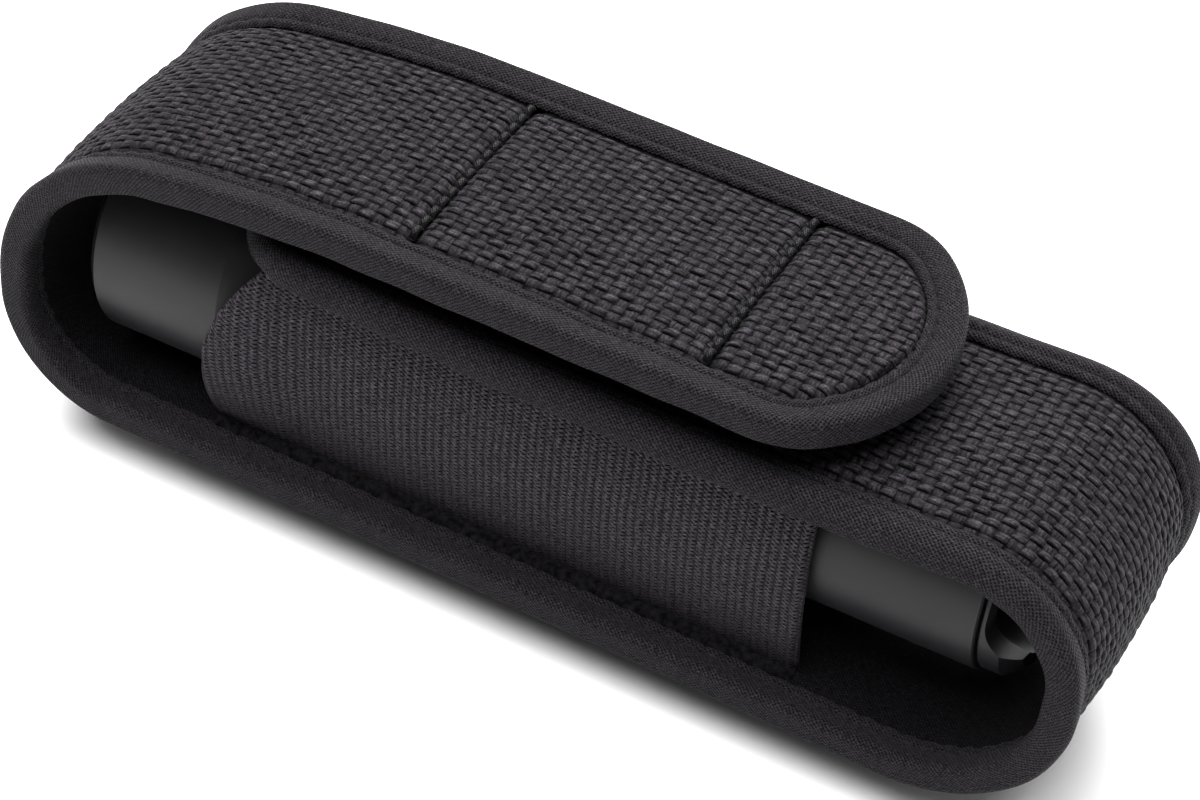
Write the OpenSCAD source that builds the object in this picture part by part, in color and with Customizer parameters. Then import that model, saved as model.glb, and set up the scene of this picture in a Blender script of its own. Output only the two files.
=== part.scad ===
// Belt holster of stiffened woven nylon with a tactical flashlight in it.
// X runs along the holster, from the flap's bend to the closed end. Z is up, with the back lying down.
// One strip makes the flap, the mouth-end wall, the back, the closed end and the front panel.

/* [Holster] */
// Length over the binding
holster_l = 140; // [140:0.5:144]
// Width over the binding
strip_w = 38; // [37:0.5:42]
// Height of the flap's face over the back's face
flap_top = 44.7; // [44.2:0.1:46]
// Place of the flap's tip along X
flap_tip_x = 43.5; // [38:0.5:46]
// Length of the flap's rounded tip
flap_tip_l = 14.9; // [13:0.1:18]
// Slope of the flap where it leaves the bend, in degrees
flap_slope = 10.5; // [10:0.5:12]
// Place along X where the flap turns level
flap_level_x = -18; // [-19:1:-16]
// Place of the front panel's mouth edge along X
mouth_x = -39; // [-40:0.5:-37]
// Corner radius of the mouth edge
mouth_corner_r = 11; // [9:0.5:13]

/* [Strip layers] */
// Thickness of the woven face
face_t = 0.9; // [0.7:0.1:1]
// Thickness of the foam core
core_t = 1.3; // [1.1:0.1:1.4]
// Thickness of the lining
lining_t = 0.5; // [0.4:0.1:0.6]
// Thickness of the binding tape
tape_t = 0.7; // [0.5:0.1:0.8]
// Width of the binding tape on each face
tape_w = 4.7; // [4:0.1:5.5]

/* [Bends] */
// Radius of the lower bend at the mouth end
mouth_low_r = 14.2; // [13:0.1:14.6]
// Radius of the upper bend at the mouth end
mouth_top_r = 26; // [25:0.1:26.5]
// Radius of the lower bend at the closed end
closed_low_r = 20; // [18.5:0.1:20.2]
// Radius of the upper bend at the closed end
closed_top_r = 15; // [14:0.1:15.5]
// Radius of the front panel's sag
sag_r = 700; // [600:10:900]
// Height of the sag's lowest line over the back's face
sag_low = 35.9; // [35.8:0.1:36.2]
// Place of the sag's lowest line along X
sag_x = 15; // [12:1:18]
// Angle of the lower crease on its bend, in degrees
low_crease_a = 225; // [215:1:235]
// Angle of the upper crease on its bend, in degrees
top_crease_a = 140; // [130:1:150]
// Half of the open angle at a crease, in degrees
crease_gap_a = 0.6; // [0.4:0.1:1]

/* [Closure, elastic and belt loop] */
// Place along X where the hook patch starts
hook_start_x = -15; // [-15:0.5:-5]
// Place along X where the hook patch ends
hook_end_x = 20; // [10:0.5:26]
// Place along X where the loop patch starts
loop_start_x = -22; // [-26:0.5:-16]
// Place along X where the loop patch ends
loop_end_x = 29; // [22:0.5:32]
// Width of both patches
patch_w = 25; // [20:0.5:27]
// Thickness of the loop patch
loop_patch_t = 2.2; // [1.8:0.1:2.4]
// Open gap between the closed patches
patch_gap = 0.3; // [0.2:0.1:0.5]
// Thickness of the elastic
elastic_t = 1.2; // [0.8:0.1:1.2]
// Place along X where the elastic's foot starts, at the mouth
elastic_foot_x = -43; // [-44:0.5:-40]
// Place along X where the elastic's top starts, behind the front panel's corner
elastic_top_x = -31; // [-31:0.5:-26]
// Place along X where the elastic ends, at the closed end
elastic_end_x = 36; // [34:0.5:38]
// Distance of the elastic's foot from the middle plane
elastic_foot_y = 11.8; // [11.5:0.1:12.4]
// Distance of the elastic's top from the middle plane
elastic_top_y = 13.4; // [13:0.1:13.6]
// Swell of the elastic over the flashlight's body
elastic_swell = 1.6; // [1.5:0.1:2.4]
// Swell of the elastic over the flashlight's head
elastic_head_swell = 4.2; // [4:0.1:4.4]
// Width of the belt loop's webbing
webbing_w = 25; // [20:1:25]
// Thickness of the webbing
webbing_t = 1.6; // [1.2:0.1:2]
// Clear height of the belt slot
belt_gap = 4.5; // [4.2:0.1:6]
// Clear length of the belt slot
belt_slot_l = 58; // [52:1:62]

/* [Flashlight] */
// Length over all
torch_l = 120.4; // [120:0.1:120.6]
// Place of the head's front along X
torch_x = -59.8; // [-59.9:0.1:-59.6]
// Height of the flashlight's axis over the back's face, at the bezel
torch_h = 18.3; // [18.2:0.1:18.4]
// Rise of the flashlight's axis towards the tail, in degrees
torch_tilt = 1.1; // [1:0.1:1.2]
// Radius of the head
head_r = 14.8; // [14.5:0.1:14.9]
// Radius of the body tube
tube_r = 12.7; // [12.4:0.1:12.7]
// Radius of the tail cap
tail_r = 12.2; // [12:0.1:12.3]
// Radius of the battery cell
cell_r = 9.2; // [8.9:0.1:9.3]
// Length of the battery cell
cell_l = 65; // [64.5:0.1:65.4]
// Travel of the tail button
button_travel = 1.6; // [1.2:0.1:1.8]
// Width of the thumb cut-outs in the tail shroud
thumb_w = 15; // [12:0.5:16]
// Tilt of the thumb cut-outs about the axis, in degrees
thumb_a = -24; // [-45:1:45]

/* [Hidden] */
$fn = 96;

nylon_black = [0.07, 0.07, 0.075];
tape_black = [0.11, 0.11, 0.115];
lining_black = [0.09, 0.09, 0.095];
foam_grey = [0.25, 0.25, 0.26];
anodised_grey = [0.2, 0.2, 0.21];

strip_t = face_t + core_t + lining_t;
back_z = webbing_t + belt_gap + tape_t;
left_x = -holster_l / 2 + tape_t;
right_x = holster_l / 2 - tape_t;
half_w = strip_w / 2;

mouth_low_c = [left_x + mouth_low_r, mouth_low_r];
crown_r = (flap_level_x - left_x - mouth_top_r * (1 - sin(flap_slope))) / sin(flap_slope);
mouth_top_c = [
    left_x + mouth_top_r,
    flap_top - crown_r * (1 - cos(flap_slope)) - mouth_top_r * cos(flap_slope)
];
crown_c = [flap_level_x, flap_top - crown_r];
closed_low_c = [right_x - closed_low_r, closed_low_r];
sag_c = [sag_x, sag_low + sag_r];
sag_reach = right_x - closed_top_r - sag_x;
sag_right_a = asin(sag_reach / (sag_r + closed_top_r));
closed_top_c = [right_x - closed_top_r, sag_c.y - (sag_r + closed_top_r) * cos(sag_right_a)];
mouth_run = 6;
sag_left_a = asin((sag_x - mouth_x + mouth_run) / sag_r);
tip_corner_r = 11.7;
tip_c = [flap_tip_x - flap_tip_l, half_w - tip_corner_r];
tip_nose_r = (flap_tip_l ^ 2 + tip_c.y ^ 2 - tip_corner_r ^ 2) / (2 * (flap_tip_l - tip_corner_r));
hook_x = [hook_start_x, hook_end_x];
loop_x = [loop_start_x, loop_end_x];
past = 2;
past_a = 4;
patch_seat = 0.02;
bend_step_a = 5;
bend_step_l = 9;

torch_z = back_z + torch_h;
chamfer_l = 1;
taper_s = [18.3, 24.3];
head_end_s = 32;
seam = 0.2;
tube_end_s = 115.5;
tail_start_s = 115.7;
cell_s = 32.7;
spigot_r = 10.8;
tail_well_r = 8.6;
button_r = 6.5;
button_seat_s = 113;

function polar(r, a) = r * [cos(a), sin(a)];
function mix(a, b, t) = a + (b - a) * t;
function smooth(t) = let(u = min(max(t, 0), 1)) u * u * (3 - 2 * u);
function reversed(list) = [for (i = [len(list) - 1:-1:0]) list[i]];

// Path of a bend as pairs of a point on the strip's face and the face's outward direction.
// A hollow bend has its centre outside the holster. skip leaves out the first point.
function arc_l(r, span) = abs(span) * PI / 180 * r;
function bend_steps(r, span) = max(ceil(abs(span) / bend_step_a), ceil(arc_l(r, span) / bend_step_l));
function bend_path(c, r, a0, a1, hollow = false, skip = 0) =
    let(n = bend_steps(r, a1 - a0))
    [for (i = [skip:n])
        let(out = polar(1, mix(a0, a1, i / n)))
        [c + r * out, hollow ? -out : out]];
function at_depth(path, d) = [for (p = path) p[0] - d * p[1]];

// One more point of a path, past its crease at the angle a, where over isn't nought
function past_crease(c, r, a, over) = over == 0 ? [] : [[c + polar(r, a + over), polar(1, a + over)]];

// Paths of the three stretches of the strip. Each runs past its creases by the angle over.
function shell_path(over) = concat(
    past_crease(mouth_low_c, mouth_low_r, low_crease_a + crease_gap_a, -over),
    bend_path(mouth_low_c, mouth_low_r, low_crease_a + crease_gap_a, 270),
    bend_path(closed_low_c, closed_low_r, 270, 360),
    bend_path(closed_top_c, closed_top_r, 0, 90 + sag_right_a),
    bend_path(sag_c, sag_r, 270 + sag_right_a, 270 - sag_left_a, hollow = true, skip = 1)
);
function end_path(over) = concat(
    past_crease(mouth_low_c, mouth_low_r, low_crease_a - crease_gap_a, over),
    bend_path(mouth_low_c, mouth_low_r, low_crease_a - crease_gap_a, 180),
    bend_path(mouth_top_c, mouth_top_r, 180, top_crease_a + crease_gap_a),
    past_crease(mouth_top_c, mouth_top_r, top_crease_a + crease_gap_a, -over)
);
function flap_path(over) = concat(
    past_crease(mouth_top_c, mouth_top_r, top_crease_a - crease_gap_a, over),
    bend_path(mouth_top_c, mouth_top_r, top_crease_a - crease_gap_a, 90 + flap_slope),
    bend_path(crown_c, crown_r, 90 + flap_slope, 90, skip = 1),
    [[[flap_tip_x + past, flap_top], [0, 1]]]
);

// Band of a path between the depths d0 and d1 under its face
module band(path, d0, d1) {
    polygon(concat(at_depth(path, d0), reversed(at_depth(path, d1))));
}

// Wedge with its corner at c that holds the angles from a0 to a1
module wedge(c, reach, a0, a1) {
    middle = (a0 + a1) / 2;
    polygon([c, c + polar(reach, a0), c + polar(1.5 * reach, middle), c + polar(reach, a1)]);
}

// Sets a profile upright and gives it the width w
module across(w) {
    translate([0, 0, back_z]) rotate([90, 0, 0]) linear_extrude(w, center = true) children();
}

// Outline of the front panel's mouth, drawn in by inset
module mouth_outline(inset) {
    for (y = [-1, 1] * (half_w - mouth_corner_r))
        translate([mouth_x + mouth_corner_r, y]) circle(mouth_corner_r - inset);
    translate([mouth_x + inset, mouth_corner_r - half_w])
        square([2 * mouth_corner_r, strip_w - 2 * mouth_corner_r]);
    translate([mouth_x + mouth_corner_r, inset - half_w])
        square([2 * mouth_corner_r, strip_w - 2 * inset]);
}

// Outline of the flap with its oval tip, drawn in by inset
module flap_outline(inset) {
    nose_x = flap_tip_x - tip_nose_r;
    nose_a = atan2(tip_c.y, tip_c.x - nose_x);
    for (y = [-1, 1] * tip_c.y)
        translate([tip_c.x, y]) circle(tip_corner_r - inset);
    intersection() {
        translate([nose_x, 0]) circle(tip_nose_r - inset);
        wedge([nose_x, 0], 2 * tip_nose_r, -nose_a, nose_a);
    }
    translate([-holster_l, -tip_c.y]) square([holster_l + tip_c.x, 2 * tip_c.y]);
    translate([-holster_l, inset - half_w]) square([holster_l + tip_c.x, strip_w - 2 * inset]);
}

// Layers of the strip between the depths d0 and d1, drawn in by inset from the edge
module shell_layer(d0, d1, inset, over = 0) {
    difference() {
        across(strip_w - 2 * inset) band(shell_path(over), d0, d1);
        translate([0, 0, back_z + sag_low - 2 * strip_t]) linear_extrude(5 * strip_t) difference() {
            translate([mouth_x - 2 * mouth_run, -strip_w])
                square([mouth_corner_r + 2 * mouth_run + past, 2 * strip_w]);
            mouth_outline(inset);
        }
    }
}

module end_layer(d0, d1, inset, over = 0) {
    across(strip_w - 2 * inset) band(end_path(over), d0, d1);
}

module flap_layer(d0, d1, inset, over = 0) {
    intersection() {
        across(strip_w) band(flap_path(over), d0, d1);
        translate([0, 0, back_z]) linear_extrude(2 * flap_top) flap_outline(inset);
    }
}

module shell_outer() {
    color(nylon_black) shell_layer(0, face_t, tape_t);
}

module shell_stiffener() {
    color(foam_grey) shell_layer(face_t, face_t + core_t, tape_t);
}

module shell_lining() {
    color(lining_black) shell_layer(face_t + core_t, strip_t, tape_t);
}

module shell_binding() {
    color(tape_black) difference() {
        shell_layer(-tape_t, strip_t + tape_t, 0);
        shell_layer(0, strip_t, tape_t, past_a);
        shell_layer(-past, strip_t + past, tape_w, past_a);
    }
}

module end_outer() {
    color(nylon_black) end_layer(0, face_t, tape_t);
}

module end_stiffener() {
    color(foam_grey) end_layer(face_t, face_t + core_t, tape_t);
}

module end_lining() {
    color(lining_black) end_layer(face_t + core_t, strip_t, tape_t);
}

module end_binding() {
    color(tape_black) difference() {
        end_layer(-tape_t, strip_t + tape_t, 0);
        end_layer(0, strip_t, tape_t, past_a);
        end_layer(-past, strip_t + past, tape_w, past_a);
    }
}

module flap_outer() {
    color(nylon_black) flap_layer(0, face_t, tape_t);
}

module flap_stiffener() {
    color(foam_grey) flap_layer(face_t, face_t + core_t, tape_t);
}

module flap_lining() {
    color(lining_black) flap_layer(face_t + core_t, strip_t, tape_t);
}

module flap_binding() {
    color(tape_black) difference() {
        flap_layer(-tape_t, strip_t + tape_t, 0);
        flap_layer(0, strip_t, tape_t, past_a);
        flap_layer(-past, strip_t + past, tape_w, past_a);
    }
}

// Path of the front panel's face between two places along X
function sag_a(x) = 270 + asin((x - sag_x) / sag_r);
function front_path(x) = bend_path(sag_c, sag_r, sag_a(x[1]), sag_a(x[0]), hollow = true);

// Hook tape: flat against the flap's lining, hollow underneath to follow the front panel
module hook_patch() {
    color("dimgray") across(patch_w) polygon(concat(
        at_depth(front_path(hook_x), -loop_patch_t - patch_gap),
        [[hook_x[0], flap_top - strip_t], [hook_x[1], flap_top - strip_t]]
    ));
}

// Loop tape on the front panel's face
module loop_patch() {
    color("black") across(patch_w) band(front_path(loop_x), -loop_patch_t, -patch_seat);
}

// Elastic side panel: a sheet that swells over the flashlight, from the back's lining to the front's.
// t runs along the sheet and s up it. Its mouth edge sweeps back near the top.
elastic_columns = 18;
elastic_rows = 8;
function front_lining_h(x) = sag_c.y - sqrt((sag_r + strip_t) ^ 2 - (x - sag_x) ^ 2);
function elastic_point(t, s, depth) =
    let(
        x = mix(mix(elastic_foot_x, elastic_top_x, s ^ 3), elastic_end_x, t),
        h = mix(strip_t, front_lining_h(x) - seam / 2, s),
        swell = mix(elastic_head_swell, elastic_swell, smooth((x - mouth_x) / mouth_corner_r))
    )
    [x, mix(elastic_foot_y, elastic_top_y, s) + 4 * swell * s * (1 - s) - depth, back_z + h];
function elastic_sheet(depth) = [
    for (j = [0:elastic_rows]) for (i = [0:elastic_columns])
        elastic_point(i / elastic_columns, j / elastic_rows, depth)
];
elastic_count = (elastic_columns + 1) * (elastic_rows + 1);
function outer_index(i, j) = j * (elastic_columns + 1) + i;
function inner_index(i, j) = elastic_count + outer_index(i, j);
// Two triangles for the corners a, b, c, d of a four-sided face
function two_faces(a, b, c, d) = [[a, b, c], [a, c, d]];
function sheet_cell(i, j) = concat(
    two_faces(outer_index(i, j), outer_index(i + 1, j), outer_index(i + 1, j + 1), outer_index(i, j + 1)),
    two_faces(inner_index(i, j), inner_index(i, j + 1), inner_index(i + 1, j + 1), inner_index(i + 1, j))
);
function foot_and_top(i, n) = concat(
    two_faces(outer_index(i, 0), inner_index(i, 0), inner_index(i + 1, 0), outer_index(i + 1, 0)),
    two_faces(outer_index(i, n), outer_index(i + 1, n), inner_index(i + 1, n), inner_index(i, n))
);
function both_ends(j, n) = concat(
    two_faces(outer_index(0, j), outer_index(0, j + 1), inner_index(0, j + 1), inner_index(0, j)),
    two_faces(outer_index(n, j), inner_index(n, j), inner_index(n, j + 1), outer_index(n, j + 1))
);
elastic_faces = concat(
    [for (j = [0:elastic_rows - 1]) for (i = [0:elastic_columns - 1]) each sheet_cell(i, j)],
    [for (i = [0:elastic_columns - 1]) each foot_and_top(i, elastic_rows)],
    [for (j = [0:elastic_rows - 1]) each both_ends(j, elastic_columns)]
);
module elastic_panel() {
    polyhedron(concat(elastic_sheet(0), elastic_sheet(elastic_t)), elastic_faces);
}

module elastic_near() {
    color(lining_black) mirror([0, 1, 0]) elastic_panel();
}

module elastic_far() {
    color(lining_black) elastic_panel();
}

// Webbing sewn to the back at both ends, with a slot for a belt between
module belt_loop() {
    ramp_l = 5;
    tab_l = 12;
    flat = belt_slot_l / 2;
    top = back_z;
    color(tape_black) rotate([90, 0, 0]) linear_extrude(webbing_w, center = true) polygon([
        [-flat - webbing_t, 0],
        [flat + webbing_t, 0],
        [flat + ramp_l + webbing_t, top - webbing_t],
        [flat + ramp_l + tab_l, top - webbing_t],
        [flat + ramp_l + tab_l, top],
        [flat + ramp_l, top],
        [flat, webbing_t],
        [-flat, webbing_t],
        [-flat - ramp_l, top],
        [-flat - ramp_l - tab_l, top],
        [-flat - ramp_l - tab_l, top - webbing_t],
        [-flat - ramp_l - webbing_t, top - webbing_t]
    ]);
}

// Places a turned piece on the flashlight's axis, with its length from the head's front towards the tail
module on_axis() {
    translate([torch_x, 0, torch_z]) rotate([0, 90 - torch_tilt, 0]) children();
}

// Turned ring between two radii and two places along the axis
module turned(r0, r1, s0, s1) {
    rotate_extrude() translate([r0, s0]) square([r1 - r0, s1 - s0]);
}

lens_seat_s = 2.2;
lens_s = [3, 5.2];
bezel_bore_r = 12.1;
bezel_lip_r = 11.3;
bezel_r = 13;
bezel_s = [0.4, 9];
module bezel_ring() {
    edge = 0.4;
    color("dimgray") on_axis() rotate_extrude() polygon([
        [bezel_lip_r, bezel_s[0] + edge],
        [bezel_lip_r + edge, bezel_s[0]],
        [bezel_r, bezel_s[0]],
        [bezel_r, bezel_s[1]],
        [bezel_bore_r, bezel_s[1]],
        [bezel_bore_r, lens_seat_s],
        [bezel_lip_r, lens_seat_s]
    ]);
}

module front_lens() {
    color("lightcyan", 0.4) on_axis() translate([0, 0, lens_s[0]])
        cylinder(r = bezel_bore_r - seam, h = lens_s[1] - lens_s[0]);
}

module lens_gasket() {
    color("black") on_axis() turned(bezel_lip_r - seam, bezel_bore_r - seam / 2, lens_seat_s, lens_s[0]);
}

// Parabolic cup with its flange against the lens
cup_s = [5.2, 20.6];
cup_rim_r = 10.9;
cup_wall = 0.8;
cup_points = 10;
cup_eye_r = 2.6;
function cup_place(r) = mix(cup_s[1], cup_s[0], (r ^ 2 - cup_eye_r ^ 2) / (cup_rim_r ^ 2 - cup_eye_r ^ 2));
module reflector() {
    radii = [for (i = [0:cup_points]) mix(cup_eye_r, cup_rim_r, i / cup_points)];
    color("silver") on_axis() rotate_extrude() polygon(concat(
        [for (r = radii) [r, cup_place(r)]],
        [[bezel_bore_r - seam, cup_s[0]], [bezel_bore_r - seam, cup_s[0] + 2 * cup_wall]],
        [for (i = [cup_points - 1:-1:0]) [radii[i] + 2 * cup_wall, cup_place(radii[i]) + cup_wall / 2]]
    ));
}

board_r = 9;
board_s = [21.6, 23.4];
module led_board() {
    color("white") on_axis() turned(0, board_r, board_s[0], board_s[1]);
}

// Square chip carrier with its round dome, facing the lens
module led_emitter() {
    carrier = 3.4;
    carrier_t = 0.7;
    dome_r = 1.5;
    color("gold") on_axis() translate([0, 0, board_s[0] - carrier_t]) {
        translate([-carrier / 2, -carrier / 2, 0]) cube([carrier, carrier, carrier_t]);
        intersection() {
            sphere(dome_r);
            translate([-carrier, -carrier, -2 * dome_r]) cube([2 * carrier, 2 * carrier, 2 * dome_r]);
        }
    }
}

// Head: smooth barrel, taper, finned neck, and the wall that carries the emitter's board
fin_count = 3;
fin_s = taper_s[1] + 0.6;
fin_gap = 1;
fin_pitch = 2.2;
fin_depth = 0.9;
socket_r = 11.3;
module head_shell() {
    wall_s = [board_s[1], 27];
    pocket_r = bezel_bore_r + seam / 2;
    color(anodised_grey) on_axis() difference() {
        rotate_extrude() polygon([
            [bezel_r + seam, 0],
            [head_r - chamfer_l, 0],
            [head_r, chamfer_l],
            [head_r, taper_s[0]],
            [tube_r, taper_s[1]],
            [tube_r, head_end_s],
            [socket_r, head_end_s],
            [socket_r, wall_s[1]],
            [1.5, wall_s[1]],
            [1.5, wall_s[0]],
            [pocket_r - fin_gap, wall_s[0]],
            [pocket_r - fin_gap, taper_s[0]],
            [pocket_r, taper_s[0]],
            [pocket_r, bezel_s[1] + seam],
            [bezel_r + seam, bezel_s[1] + seam]
        ]);
        for (i = [0:fin_count - 1])
            turned(tube_r - fin_depth, head_r, fin_s + i * fin_pitch, fin_s + i * fin_pitch + fin_gap);
    }
}

driver_s = [27, 28.4];
module driver_board() {
    color("darkgreen") on_axis() turned(0, 9.4, driver_s[0], driver_s[1]);
}

module driver_contact() {
    color("gold") on_axis() translate([0, 0, driver_s[1]]) {
        cylinder(r = 3.2, h = 0.8);
        cylinder(r = 2.2, h = cell_s - 1 - driver_s[1]);
    }
}

// O-ring of cord radius ring_cord at the place s, on a groove's floor of radius floor_r
ring_cord = 0.42;
module o_ring(floor_r, s) {
    rotate_extrude() translate([floor_r + ring_cord, s]) circle(ring_cord, $fn = 24);
}

front_spigot_r = 11;
front_spigot_s = 29;
ring_floor_r = 10.25;
head_ring_s = 30.5;
module head_o_ring() {
    color("black") on_axis() o_ring(ring_floor_r, head_ring_s);
}

// Body tube: threaded spigots stand in as plain fits, with turned grip rings along the middle
grip_count = 18;
grip_s = 43;
grip_pitch = 2.6;
grip_w = 1.1;
grip_depth = 0.5;
tail_socket_r = 11;
tail_socket_s = 101;
module body_tube() {
    bore_r = cell_r + 0.4;
    edge = 0.2;
    color(anodised_grey) on_axis() difference() {
        rotate_extrude() polygon([
            [bore_r, front_spigot_s],
            [front_spigot_r, front_spigot_s],
            [front_spigot_r, head_ring_s - ring_cord],
            [ring_floor_r, head_ring_s - ring_cord],
            [ring_floor_r, head_ring_s + ring_cord],
            [front_spigot_r, head_ring_s + ring_cord],
            [front_spigot_r, head_end_s + seam],
            [tube_r, head_end_s + seam],
            [tube_r, tube_end_s - edge],
            [tube_r - edge, tube_end_s],
            [tail_socket_r, tube_end_s],
            [tail_socket_r, tail_socket_s],
            [bore_r, tail_socket_s]
        ]);
        for (i = [0:grip_count - 1])
            turned(tube_r - grip_depth, head_r, grip_s + i * grip_pitch, grip_s + i * grip_pitch + grip_w);
    }
}

module battery_cell() {
    edge = 0.6;
    color("slategray") on_axis() rotate_extrude() polygon([
        [0, cell_s - 1],
        [3, cell_s - 1],
        [3, cell_s],
        [cell_r - edge, cell_s],
        [cell_r, cell_s + edge],
        [cell_r, cell_s + cell_l - edge],
        [cell_r - edge, cell_s + cell_l],
        [0, cell_s + cell_l]
    ]);
}

// Tail cap: spigot in the tube, button seat, and a shroud with two thumb cut-outs
tail_ring_s = 114;
tail_bore_r = 9.3;
tail_bore_s = 102.5;
module thumb_outline() {
    corner = 4;
    floor_s = tail_start_s + 0.6;
    for (u = [-1, 1] * (thumb_w / 2 - corner))
        translate([u, floor_s + corner]) circle(corner);
    translate([corner - thumb_w / 2, floor_s]) square([thumb_w - 2 * corner, torch_l - floor_s + past]);
    translate([-thumb_w / 2, floor_s + corner]) square([thumb_w, torch_l - floor_s - corner + past]);
}

module tail_cap() {
    chamfer = 2;
    edge = 0.2;
    color(anodised_grey) on_axis() difference() {
        rotate_extrude() polygon([
            [tail_bore_r, tail_bore_s],
            [spigot_r, tail_bore_s],
            [spigot_r, tail_ring_s - ring_cord],
            [ring_floor_r - 0.2, tail_ring_s - ring_cord],
            [ring_floor_r - 0.2, tail_ring_s + ring_cord],
            [spigot_r, tail_ring_s + ring_cord],
            [spigot_r, tail_start_s],
            [tail_r - edge, tail_start_s],
            [tail_r, tail_start_s + edge],
            [tail_r, torch_l - chamfer],
            [tail_r - chamfer, torch_l],
            [tail_well_r, torch_l],
            [tail_well_r, button_seat_s + 2],
            [button_r + 0.4, button_seat_s + 2],
            [button_r + 0.4, button_seat_s],
            [tail_bore_r, button_seat_s]
        ]);
        rotate([0, 0, thumb_a]) rotate([90, 0, 0]) linear_extrude(4 * tail_r, center = true) thumb_outline();
    }
}

module tail_o_ring() {
    color("black") on_axis() o_ring(ring_floor_r - 0.2, tail_ring_s);
}

// Battery spring: one unbroken wire that narrows towards the cell
spring_turns = 4;
spring_wire_r = 0.45;
spring_s = [cell_s + cell_l + 0.6, 102];
spring_r = [5.6, 3.4];
spring_rings = 16 * spring_turns;
spring_sides = 6;
function spring_ring(k) =
    let(
        t = k / spring_rings,
        a = 360 * spring_turns * t,
        r = mix(spring_r[0], spring_r[1], t),
        s = mix(spring_s[1] - spring_wire_r, spring_s[0] + spring_wire_r, t)
    )
    [for (i = [0:spring_sides - 1])
        let(b = 360 * i / spring_sides, q = r + spring_wire_r * cos(b))
        [q * cos(a), q * sin(a), s + spring_wire_r * sin(b)]];
spring_faces = concat(
    [for (k = [0:spring_rings - 1]) for (i = [0:spring_sides - 1]) each
        let(j = (i + 1) % spring_sides, a = k * spring_sides + i, b = k * spring_sides + j, n = spring_sides)
        [[a, b, b + n], [a, b + n, a + n]]],
    [for (i = [1:spring_sides - 2]) [0, i + 1, i]],
    [for (i = [1:spring_sides - 2]) let(e = spring_rings * spring_sides) [e, e + i, e + i + 1]]
);
module tail_spring() {
    color("gainsboro") on_axis()
        polyhedron([for (k = [0:spring_rings]) each spring_ring(k)], spring_faces);
}

module_s = [103.8, 109.2];
plunger_r = 1.9;
plunger_bore_s = 105;
module switch_module() {
    color("darkslategray") on_axis() difference() {
        translate([0, 0, module_s[0]]) cylinder(r = tail_bore_r - seam, h = module_s[1] - module_s[0]);
        translate([0, 0, plunger_bore_s]) cylinder(r = plunger_r + 0.4, h = module_s[1]);
    }
}

module switch_retainer() {
    color("goldenrod") on_axis() turned(4.4, tail_bore_r - seam / 2, tail_bore_s + seam, module_s[0]);
}

flange_s = [button_seat_s - 0.2 - 1.4, button_seat_s - 0.2];
module switch_plunger() {
    color("ivory") on_axis() translate([0, 0, plunger_bore_s + button_travel + 0.4])
        cylinder(r = plunger_r, h = flange_s[0] - plunger_bore_s - button_travel - 0.4);
}

// Rubber button with its flange behind the seat and a low dome
module switch_boot() {
    crown_s = torch_l - 3.2;
    dome_h = 1.2;
    dome_ball_r = (button_r ^ 2 + dome_h ^ 2) / (2 * dome_h);
    color([0.08, 0.08, 0.08]) on_axis() {
        translate([0, 0, flange_s[0]]) cylinder(r = tail_bore_r - 0.4, h = flange_s[1] - flange_s[0]);
        translate([0, 0, flange_s[0]]) cylinder(r = button_r, h = crown_s - dome_h - flange_s[0]);
        intersection() {
            translate([0, 0, crown_s - dome_ball_r]) sphere(dome_ball_r, $fn = 180);
            translate([0, 0, crown_s - dome_h]) cylinder(r = button_r, h = 2 * dome_h);
        }
    }
}

shell_outer();
shell_stiffener();
shell_lining();
shell_binding();
end_outer();
end_stiffener();
end_lining();
end_binding();
flap_outer();
flap_stiffener();
flap_lining();
flap_binding();
hook_patch();
loop_patch();
elastic_near();
elastic_far();
belt_loop();
bezel_ring();
front_lens();
lens_gasket();
reflector();
led_board();
led_emitter();
head_shell();
driver_board();
driver_contact();
head_o_ring();
body_tube();
battery_cell();
tail_o_ring();
tail_cap();
tail_spring();
switch_module();
switch_plunger();
switch_retainer();
switch_boot();
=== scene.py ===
"""Looks of a closed belt holster of stiffened woven nylon with a tactical flashlight in it.

The holster's one long strip is laid out again as a line in X and Z. Its woven face, lining, binding tape and
stitches are built in strip coordinates: s along the strip from the flap's tip, y across it, and h outwards
from its woven face.
"""

import logging
import math
from collections.abc import Callable
from dataclasses import dataclass, field
from enum import Enum

import bpy
import numpy as np
from mathutils import Matrix, Vector


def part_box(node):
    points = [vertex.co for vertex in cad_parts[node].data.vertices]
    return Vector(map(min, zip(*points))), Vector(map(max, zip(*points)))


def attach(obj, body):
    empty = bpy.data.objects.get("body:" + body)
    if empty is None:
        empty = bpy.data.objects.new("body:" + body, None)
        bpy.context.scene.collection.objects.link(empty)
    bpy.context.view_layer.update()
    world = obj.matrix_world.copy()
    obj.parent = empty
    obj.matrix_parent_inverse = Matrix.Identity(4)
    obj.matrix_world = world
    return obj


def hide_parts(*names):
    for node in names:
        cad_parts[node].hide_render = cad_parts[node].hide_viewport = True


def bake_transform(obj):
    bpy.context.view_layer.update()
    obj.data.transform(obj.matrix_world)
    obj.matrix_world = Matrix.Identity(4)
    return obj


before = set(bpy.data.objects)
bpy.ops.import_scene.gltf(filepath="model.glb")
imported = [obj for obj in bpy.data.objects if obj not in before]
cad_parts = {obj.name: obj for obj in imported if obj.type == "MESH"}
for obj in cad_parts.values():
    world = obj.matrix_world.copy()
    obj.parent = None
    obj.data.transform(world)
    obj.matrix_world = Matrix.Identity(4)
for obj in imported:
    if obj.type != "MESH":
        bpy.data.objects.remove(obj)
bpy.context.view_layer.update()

LOG = logging.getLogger("holster")
MM = 0.001
QUARTER = math.pi / 2
SHARP_ANGLE = math.radians(75)
LINT_TONE = 3.0
UV_NAME = "strip_mm"


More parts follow.
